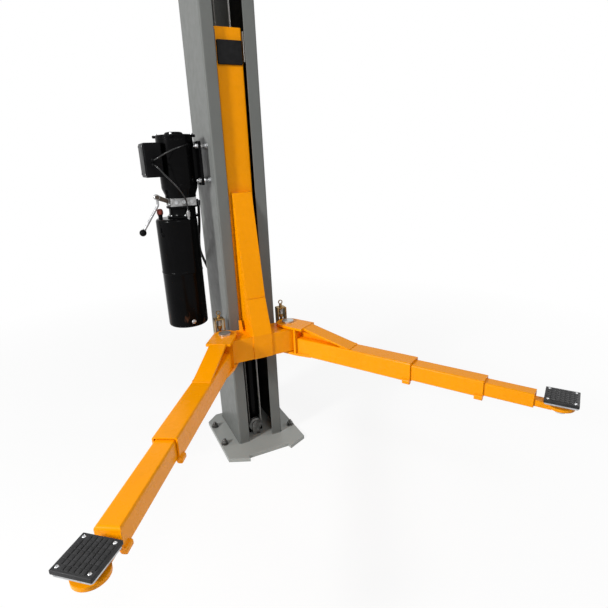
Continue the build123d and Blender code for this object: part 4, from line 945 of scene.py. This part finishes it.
class LIFT_OT_valve(bpy.types.Operator):
    """Plugs in the valve block's ports, its screws, and the lowering lever"""

    bl_idname = "lift.valve"
    bl_label = "Valve block and lever"

    def execute(self, context):
        socket = [
            (0.0, 0.0), (0.0088, 0.0), (0.0088, 0.0050), (0.0080, 0.0062), (0.0052, 0.0062),
            (0.0046, 0.0052), (0.0042, 0.0015), (0.0, 0.0012),
        ]
        plugs = []
        for index in range(3):
            at = (MOTOR_X + 0.036 * (index - 1), UNIT_Y - 0.055, 1.3365)
            plugs.append(placed(turned(f"port_plug_{index}", socket, 32), at, (0, -1, 0)))
        dressed(whole(plugs, "port_plugs"), "zinc", "stand")
        spots = [(MOTOR_X - 0.060, y, 1.3285) for y in (-0.056, 0.016)]
        screw_set("block_screws", spots, 0.0055, 0.006, (-1, 0, 0))
        start, down = Vector(LEVER_AT), Vector((0, 0, -1))
        end = start + Vector((-0.084, 0, -0.157))
        bend = start + down * 0.036
        reach = (end - bend).normalized()
        eye = [
            (0.0064, 0.0), (0.0115, 0.0), (0.0130, 0.0012), (0.0130, 0.0148), (0.0115, 0.0160),
            (0.0064, 0.0160), (0.0061, 0.0156), (0.0061, 0.0004), (0.0064, 0.0),
        ]
        eye = placed(turned("lever_eye", eye, 40), start + Vector((0, 0.008, 0)), (0, -1, 0))
        bar = [
            start + down * 0.0105, start + down * 0.026, bend, bend + reach * 0.012,
            end - reach * 0.009,
        ]
        rod = meshed(route("lever_rod", bar, 0.0060))
        collar = [
            (0.0, 0.0), (0.0066, 0.0), (0.0072, 0.0006), (0.0072, 0.0030), (0.0066, 0.0036),
            (0.0, 0.0036),
        ]
        collar = placed(turned("lever_collar", collar, 32), end - reach * 0.0215, reach)
        lever = whole([eye, rod, collar], "lowering_lever")
        dressed(lever, "worn_chrome", "lever", ["lever"])
        # the ball starts beside the mouth that the rod goes into
        radius = 0.016
        turns = [math.pi * step / 25 for step in range(1, 25)]
        ball = [(radius * math.sin(turn), -radius * math.cos(turn)) for turn in turns]
        mouth = [(0.0062, -0.0085), (0.0062, -0.0152), (0.0076, -0.0160), (0.0088, -0.0146)]
        ball = mouth + [spot for spot in ball if spot[1] > -0.0135] + [(0.0, radius)]
        knob = placed(turned("lever_ball", ball, 48), end, reach)
        dressed(smoothed(knob, 50), "black_plastic", "lever", ["lever_knob"])
        return {"FINISHED"}


class LIFT_OT_cords(bpy.types.Operator):
    """Pressure hose and the two cables, on their routes"""

    bl_idname = "lift.cords"
    bl_label = "Hose and cables"

    def execute(self, context):
        hose = dressed(route("pressure_hose", HOSE_ROUTE, 0.007), "black_rubber", "stand", ["hose"])
        cable = route("motor_cable", MOTOR_CABLE, 0.0035)
        dressed(cable, "cable_jacket", "stand", ["wiring"])
        cable = route("valve_cable", VALVE_CABLE, 0.0035)
        dressed(cable, "cable_jacket", "stand", ["wiring"])
        return {"FINISHED"}


class LIFT_OT_ropes(bpy.types.Operator):
    """The equalising ropes, laid from six strands"""

    bl_idname = "lift.ropes"
    bl_label = "Ropes"

    def execute(self, context):
        sizes = context.scene.lift_sizes
        for name, node, x, low in (
            ("rope_to_carriage", "rope_up", CARRIAGE_ROPE_X, 2.042),
            ("rope_from_base", "rope_return", BASE_ROPE_X, 0.0783),
        ):
            points = [
                (x, ROPE_Y, low), (x, ROPE_Y, low + 0.06), (x, ROPE_Y, 3.330),
                (x, -0.0962, 3.385), (x, -0.1128, 3.4019), (x, -0.145, 3.402), (x, -0.160, 3.402),
            ]
            rope = stranded(name, points, sizes.rope_radius, sizes.rope_lay)
            if node == "rope_up":
                dressed(rope, "rope_wire", None, [node])
                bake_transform(rope)
            else:
                dressed(rope, "greased_wire", "stand", [node])
        # down to the lower sheave, round it and up again
        x = CARRIAGE_ROPE_X
        way = (
            (x, 0.600), (x, 0.540), (x, 0.110), (x, 0.0643), (0.0131, 0.0443), (-0.007, 0.0443),
            (-0.0271, 0.0443), (BASE_ROPE_X, 0.0643), (BASE_ROPE_X, 0.0783),
        )
        points = [(across, ROPE_Y, z) for across, z in way]
        rope = stranded("rope_to_base", points, sizes.rope_radius, sizes.rope_lay)
        dressed(rope, "rope_wire", None, ["rope_down"])
        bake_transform(rope)
        return {"FINISHED"}


class LIFT_OT_springs(bpy.types.Operator):
    """Coil springs of the two arm restraints"""

    bl_idname = "lift.springs"
    bl_label = "Restraint springs"

    def execute(self, context):
        for word, arm in ARMS:
            x, y = arm["side"] * PIVOT_X, RESTRAINT_Y
            nothing_selected()
            bpy.ops.mesh.primitive_circle_add(
                vertices=10, radius=0.0016, fill_type="NGON", location=(0.0112, 0, 0.0018),
                rotation=(math.pi / 2, 0, 0),
            )
            spring = applied(
                fixed(f"restraint_coil_{word}"), "SCREW", angle=math.tau, screw_offset=0.0054,
                iterations=5, steps=28, render_steps=28, use_merge_vertices=True, axis="Z",
                use_normal_calculate=True,
            )
            applied(spring, "WELD", merge_threshold=0.00001)
            placed(smoothed(spring, 60), (x, y, 0.7228))
            dressed(spring, "zinc", None, [f"restraint_spring_{word}"])
            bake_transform(spring)
        return {"FINISHED"}


class LIFT_OT_pads(bpy.types.Operator):
    """Studded rubber pads with their screws"""

    bl_idname = "lift.pads"
    bl_label = "Lifting pads"

    def execute(self, context):
        sizes = context.scene.lift_sizes
        side, pitch, thick = sizes.pad_side / 2, sizes.stud_pitch, sizes.pad_thick
        dome = [
            (0.0, 0.0), (0.0052, 0.0), (0.0052, 0.0006), (0.0047, 0.0016), (0.0036, 0.0026),
            (0.0022, 0.0030), (0.0018, 0.0014), (0.0, 0.0012),
        ]
        for word, arm in ARMS:
            low, high = (-side, -side, 0), (side, side, thick - 0.002)
            slab = block(f"pad_slab_{word}", low, high, 0.0022, 3)
            nothing_selected()
            bpy.ops.mesh.primitive_grid_add(
                x_subdivisions=7, y_subdivisions=7, size=7 * pitch, location=(0, 0, thick - 0.004)
            )
            studs = fixed(f"pad_studs_{word}")
            bpy.ops.object.mode_set(mode="EDIT")
            bpy.ops.mesh.select_all(action="SELECT")
            bpy.ops.mesh.inset(thickness=0.0014, use_individual=True)
            bpy.ops.mesh.select_mode(type="FACE")
            bpy.ops.object.mode_set(mode="OBJECT")
            # the strips between the studs and the four corner studs go
            for face in studs.data.polygons:
                strip = face.area <= (pitch * 0.7) ** 2
                face.select = strip or min(abs(face.center.x), abs(face.center.y)) > 2.4 * pitch
            bpy.ops.object.mode_set(mode="EDIT")
            bpy.ops.mesh.delete(type="FACE")
            up = {"value": (0, 0, 0.004)}
            edited(partial(bpy.ops.mesh.extrude_region_move, TRANSFORM_OT_translate=up), outwards)
            context.tool_settings.mesh_select_mode = (True, False, False)
            softened(studs, 0.0006, 2)
            pad = smoothed(joined([slab, studs], f"rubber_pad_{word}"), 40)
            centre = arm_spot(arm, arm["pad_at"], 0, arm["pad_top"] - thick)
            angle = arm_way(arm) + math.radians(arm["pad_turn"])
            placed(pad, centre, turn=angle)
            dressed(pad, "dusty_rubber", f"{word}_pad", [f"{word}_pad"])
            screws = []
            for index, (x, y) in enumerate(((-1, -1), (1, -1), (1, 1), (-1, 1))):
                spot = Vector((x * 3 * pitch, y * 3 * pitch, thick - 0.0022))
                screw = turned(f"pad_screw_{word}_{index}", dome, 24)
                screws.append(placed(screw, centre + Matrix.Rotation(angle, 3, "Z") @ spot))
            screws = whole(screws, f"pad_screws_{word}")
            dressed(screws, "zinc", f"{word}_pad")
        return {"FINISHED"}


class LIFT_OT_bolts(bpy.types.Operator):
    """Anchor bolts of the base plate and studs of the motor foot"""

    bl_idname = "lift.bolts"
    bl_label = "Bolts"

    def execute(self, context):
        anchors = []
        spots = [(x, y, BASE_TOP) for y in (-0.115, 0.080) for x in (-0.198, 0.198)]
        for index, spot in enumerate(spots):
            ring = washer(f"anchor_washer_{index}", 0.021, 0.004)
            nut = placed(hexagon(f"anchor_nut_{index}", 0.028, 0.015), (0, 0, 0.004))
            stud = thread(f"anchor_stud_{index}", 0.009, 0.031)
            one = whole([ring, nut, stud], f"anchor_{index}")
            anchors.append(placed(one, spot, turn=math.radians(12 * index)))
        anchors = joined(anchors, "anchor_studs")
        dressed(anchors, "weathered_zinc", "stand", ["anchor_bolts"])
        studs = []
        spots = [(-0.125, y, z) for z in (1.430, 1.582) for y in (-0.086, 0.046)]
        for index, spot in enumerate(spots):
            parts = [thread(f"foot_thread_{index}", 0.0060, 0.066)]
            for at, face in ((0.0018, 0.0), (0.0226, 0.0322), (0.0478, 0.046)):
                nut = hexagon(f"foot_nut_{index}_{at}", 0.0192, 0.0096)
                parts.append(placed(nut, (0, 0, at), turn=math.radians(15 * index + at * 900)))
                ring = washer(f"foot_washer_{index}_{at}", 0.0120, 0.0018)
                parts.append(placed(ring, (0, 0, face)))
            one = whole(parts, f"foot_stud_{index}")
            studs.append(placed(one, spot, (-1, 0, 0)))
        dressed(joined(studs, "foot_studs"), "zinc", "stand", ["foot_bolts"])
        return {"FINISHED"}


class LIFT_OT_welds(bpy.types.Operator):
    """Painted weld beads of the carriage, the arms and the column"""

    bl_idname = "lift.welds"
    bl_label = "Welds"

    def execute(self, context):
        size = context.scene.lift_sizes.weld_size
        gusset = [((-0.048, -0.248, 0.865), (0.048, -0.248, 0.865))]
        gusset += [((x, -0.138, 0.690), (x, -0.138, 1.365)) for x in (-0.048, 0.048)]
        gusset += [((-0.048, -0.138, 1.365), (0.048, -0.138, 1.365))]
        gusset += [((x, -0.303, 0.575), (x, -0.303, 0.686)) for x in (-0.048, 0.048)]
        gusset += [((x, -0.300, 0.686), (x, -0.166, 0.686)) for x in (-0.048, 0.048)]
        gusset += [((x, -0.197, 0.686), (x, -0.167, 0.686)) for x in (-0.074, -0.062, 0.062, 0.074)]
        dressed(weld("carriage_welds", gusset, size), "orange_paint", "carriage")
        for word, arm in ARMS:
            end, inner = arm["outer_end"], -arm["side"]
            runs = []
            for side in (-1, 1):
                runs += [
                    ((0.335, side * 0.039, 0.6455), (0.386, side * 0.039, 0.6450)),
                    ((0.0845, side * 0.0575, 0.566), (0.0845, side * 0.0575, 0.690)),
                    ((0.0850, side * 0.0455, 0.567), (0.0850, side * 0.0455, 0.640)),
                    ((0.0860, side * 0.0452, 0.5655), (0.155, side * 0.0452, 0.5655)),
                    ((0.0880, side * 0.005, 0.646), (0.350, side * 0.005, 0.644)),
                    ((0.0850, side * 0.008, 0.6445), (0.0850, side * 0.042, 0.6445)),
                    ((0.0850, side * 0.008, 0.6905), (0.0850, side * 0.056, 0.6905)),
                ]
            runs += [
                ((0.386, -0.038, 0.6435), (0.386, 0.038, 0.6435)),
                ((0.1245, -0.038, 0.7028), (0.1245, 0.038, 0.7028)),
                ((end - 0.032, inner * 0.0455, 0.5660), (end - 0.001, inner * 0.0455, 0.5660)),
                ((end - 0.0325, inner * 0.0465, 0.5535), (end - 0.0325, inner * 0.0465, 0.5655)),
                ((end - 0.032, inner * 0.0315, 0.5525), (end - 0.001, inner * 0.0315, 0.5525)),
            ]
            runs = [[arm_spot(arm, *spot) for spot in spots] for spots in runs]
            piece = weld(f"{word}_arm_welds", runs, size * 0.9)
            dressed(piece, "orange_paint", f"{word}_outer")
        foot = []
        for z in (BASE_TOP, COLUMN_TOP):
            foot.append(((-0.119, 0.186, z), (0.119, 0.186, z)))
            foot += [((x, -0.154, z), (x, 0.180, z)) for x in (-0.125, 0.125)]
            for left, right in ((-0.119, -0.069), (0.069, 0.119)):
                foot.append(((left, -0.160, z), (right, -0.160, z)))
        dressed(weld("column_welds", foot, size * 1.1), "grey_paint", "stand")
        return {"FINISHED"}


class LIFT_OT_chain(bpy.types.Operator):
    """Leaf chain: plates on pins, up from its anchor, over the roller and down to the carriage"""

    bl_idname = "lift.chain"
    bl_label = "Lifting chain"

    def execute(self, context):
        pitch = context.scene.lift_sizes.chain_pitch
        plates = []
        for index, x in enumerate((-0.0078, -0.0039, 0.0, 0.0039, 0.0078)):
            plate = cross_bar(f"plate_{index}", 12, 0.0056, 0.0032)
            # the round is drawn out to a link: its upper half goes up by one pitch
            for vertex in plate.data.vertices:
                if vertex.co.z > 0.0001:
                    vertex.co.z += pitch
                vertex.co.x += x
                if index % 2:
                    vertex.co.z += pitch
            plates.append(plate)
        plates += [cross_bar(f"pin_{index}", 10, 0.0026, 0.0198, index * pitch) for index in (0, 1)]
        link = joined(plates, "link_pair")
        front = rowed(copy_of(link, "chain_to_carriage"), 23, 2 * pitch)
        placed(front, (0, CHAIN_FRONT_Y, 0.6262))
        dressed(smoothed(front, 35), "oiled_steel", None, ["chain_front"])
        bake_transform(front)
        rear = [rowed(copy_of(link, "chain_to_anchor"), 39, 2 * pitch)]
        placed(rear[0], (0, CHAIN_REAR_Y, ROLLER_Z - 78 * pitch))
        for index in range(5):
            # laid on the roller's round, its middle pin on the pitch circle
            piece = copy_of(link, f"link_over_{index}")
            take_up(piece)
            spin = Matrix.Rotation(math.radians(18 + 36 * index), 4, "X")
            on_round = Matrix.Translation((0, CHAIN_REAR_Y - ROLLER_Y, -pitch))
            piece.matrix_world = Matrix.Translation((0, ROLLER_Y, ROLLER_Z)) @ spin @ on_round
            bpy.ops.object.transform_apply(location=True, rotation=True, scale=True)
            rear.append(piece)
        rear = whole(rear, "chain_to_anchor")
        dressed(rear, "oiled_steel", None, ["chain_rear"])
        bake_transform(rear)
        bpy.data.objects.remove(link)
        return {"FINISHED"}


def seen_outright(tree):
    """1 for the rays that see a thing from the camera, in a mirror or through glass."""
    path = add(tree, "LightPath").outputs
    seen = path["Is Camera Ray"]
    for kind in ("Is Glossy Ray", "Is Transmission Ray"):
        seen = maths(tree, "MAXIMUM", seen, path[kind])
    return seen


class LIFT_OT_stage(bpy.types.Operator):
    """Floor, backdrop light, lamps and the camera at the photo's place"""

    bl_idname = "lift.stage"
    bl_label = "Stage"

    def execute(self, context):
        stage = context.scene.lift_stage
        nothing_selected()
        bpy.ops.mesh.primitive_plane_add(size=80, location=(0, 0, 0))
        floor = named("floor")
        material = bpy.data.materials.new("pale floor")
        material.use_nodes = True
        tree = material.node_tree
        tree.nodes.remove(tree.nodes["Principled BSDF"])
        # the floor turns to plain white a few metres out, so that it has no far edge
        place = add(tree, "TexCoord").outputs["Object"]
        out = add(tree, "VectorMath", {0: place}, operation="LENGTH").outputs["Value"]
        share = times(tree, seen_outright(tree), spread(tree, out, 0.88, 1.0, 1.2, 3.6))
        white = add(tree, "Emission", {"Color": (1, 1, 1, 1), "Strength": 1.0}).outputs[0]
        card = add(tree, "BsdfDiffuse", {"Color": (0.90, 0.90, 0.90, 1)}).outputs[0]
        mix = add(tree, "MixShader", {0: share, 1: card, 2: white}).outputs[0]
        tree.links.new(mix, tree.nodes["Material Output"].inputs["Surface"])
        floor.data.materials.append(material)
        world = bpy.data.worlds.new("studio")
        context.scene.world = world
        world.use_nodes = True
        tree = world.node_tree
        tree.nodes.clear()
        light = add(tree, "Background", {"Color": (1, 1, 1, 1), "Strength": stage.sky})
        back = add(tree, "Background", {"Color": (1, 1, 1, 1), "Strength": 1.0})
        sockets = {0: seen_outright(tree), 1: light.outputs[0], 2: back.outputs[0]}
        add(tree, "OutputWorld", {"Surface": add(tree, "MixShader", sockets).outputs[0]})
        for name, at, size, power in (
            ("key_lamp", (-3.75, -1.45, 2.6), 0.6, stage.key),
            ("front_lamp", (-0.3, -3.4, 4.0), 1.2, stage.key * 0.25),
            ("side_lamp", (3.2, -1.0, 2.4), 0.8, stage.fill),
        ):
            bpy.ops.object.light_add(type="AREA", location=at)
            lamp = named(name)
            lamp.data.shape = "SQUARE"
            lamp.data.size = size
            lamp.data.energy = power
            aim = Vector(LAMPS_AIM) - Vector(at)
            lamp.rotation_euler = aim.to_track_quat("-Z", "Y").to_euler()
        context.scene.view_settings.view_transform = "Standard"
        yaw, pitch, roll = (math.radians(angle) for angle in PHOTO_ANGLES)
        level = math.cos(pitch)
        ahead = Vector((-math.sin(yaw) * level, math.cos(yaw) * level, -math.sin(pitch)))
        right = ahead.cross(Vector((0, 0, 1))).normalized()
        up = right.cross(ahead)
        across = right * math.cos(roll) + up * math.sin(roll)
        upright_way = up * math.cos(roll) - right * math.sin(roll)
        bpy.ops.object.camera_add(location=(0, 0, 0))
        camera = named("photo_camera")
        camera.data.lens = stage.lens
        camera.data.sensor_width = 36.0
        camera.data.sensor_fit = "HORIZONTAL"
        turn = Matrix((across, upright_way, -ahead)).transposed().to_4x4()
        camera.matrix_world = Matrix.Translation(PHOTO_AT) @ turn
        context.scene.camera = camera
        return {"FINISHED"}


class LIFT_PT_sidebar(bpy.types.Panel):
    """Lists the pieces of the lift"""

    bl_idname = "LIFT_PT_sidebar"
    bl_label = "Two post lift column"
    bl_space_type = "VIEW_3D"
    bl_region_type = "UI"
    bl_category = "Lift"

    def draw(self, context):
        scene = context.scene
        for group in (scene.lift_colours, scene.lift_sizes, scene.lift_stage):
            box = self.layout.box()
            for key in group.bl_rna.properties.keys():
                if key not in ("rna_type", "name"):
                    box.prop(group, key)
        for operator in OPERATORS:
            self.layout.operator(operator.bl_idname)


GROUPS = (LiftColours, LiftSizes, LiftStage)
OPERATORS = (
    LIFT_OT_frame, LIFT_OT_tank, LIFT_OT_motor, LIFT_OT_valve, LIFT_OT_cords, LIFT_OT_ropes,
    LIFT_OT_springs, LIFT_OT_pads, LIFT_OT_bolts, LIFT_OT_welds, LIFT_OT_chain, LIFT_OT_stage,
)


def register():
    """Registers the classes and hangs their settings on the scene."""
    for cls in (*GROUPS, *OPERATORS, LIFT_PT_sidebar):
        bpy.utils.register_class(cls)
    bpy.types.Scene.lift_colours = bpy.props.PointerProperty(type=LiftColours)
    bpy.types.Scene.lift_sizes = bpy.props.PointerProperty(type=LiftSizes)
    bpy.types.Scene.lift_stage = bpy.props.PointerProperty(type=LiftStage)


def unregister():
    """Takes the settings and classes away again."""
    del bpy.types.Scene.lift_stage
    del bpy.types.Scene.lift_sizes
    del bpy.types.Scene.lift_colours
    for cls in reversed((*GROUPS, *OPERATORS, LIFT_PT_sidebar)):
        bpy.utils.unregister_class(cls)


def main():
    """Builds every piece and the stage."""
    register()
    for operator in OPERATORS:
        getattr(bpy.ops.lift, operator.bl_idname.split(".")[1])()


if __name__ == "__main__":
    main()
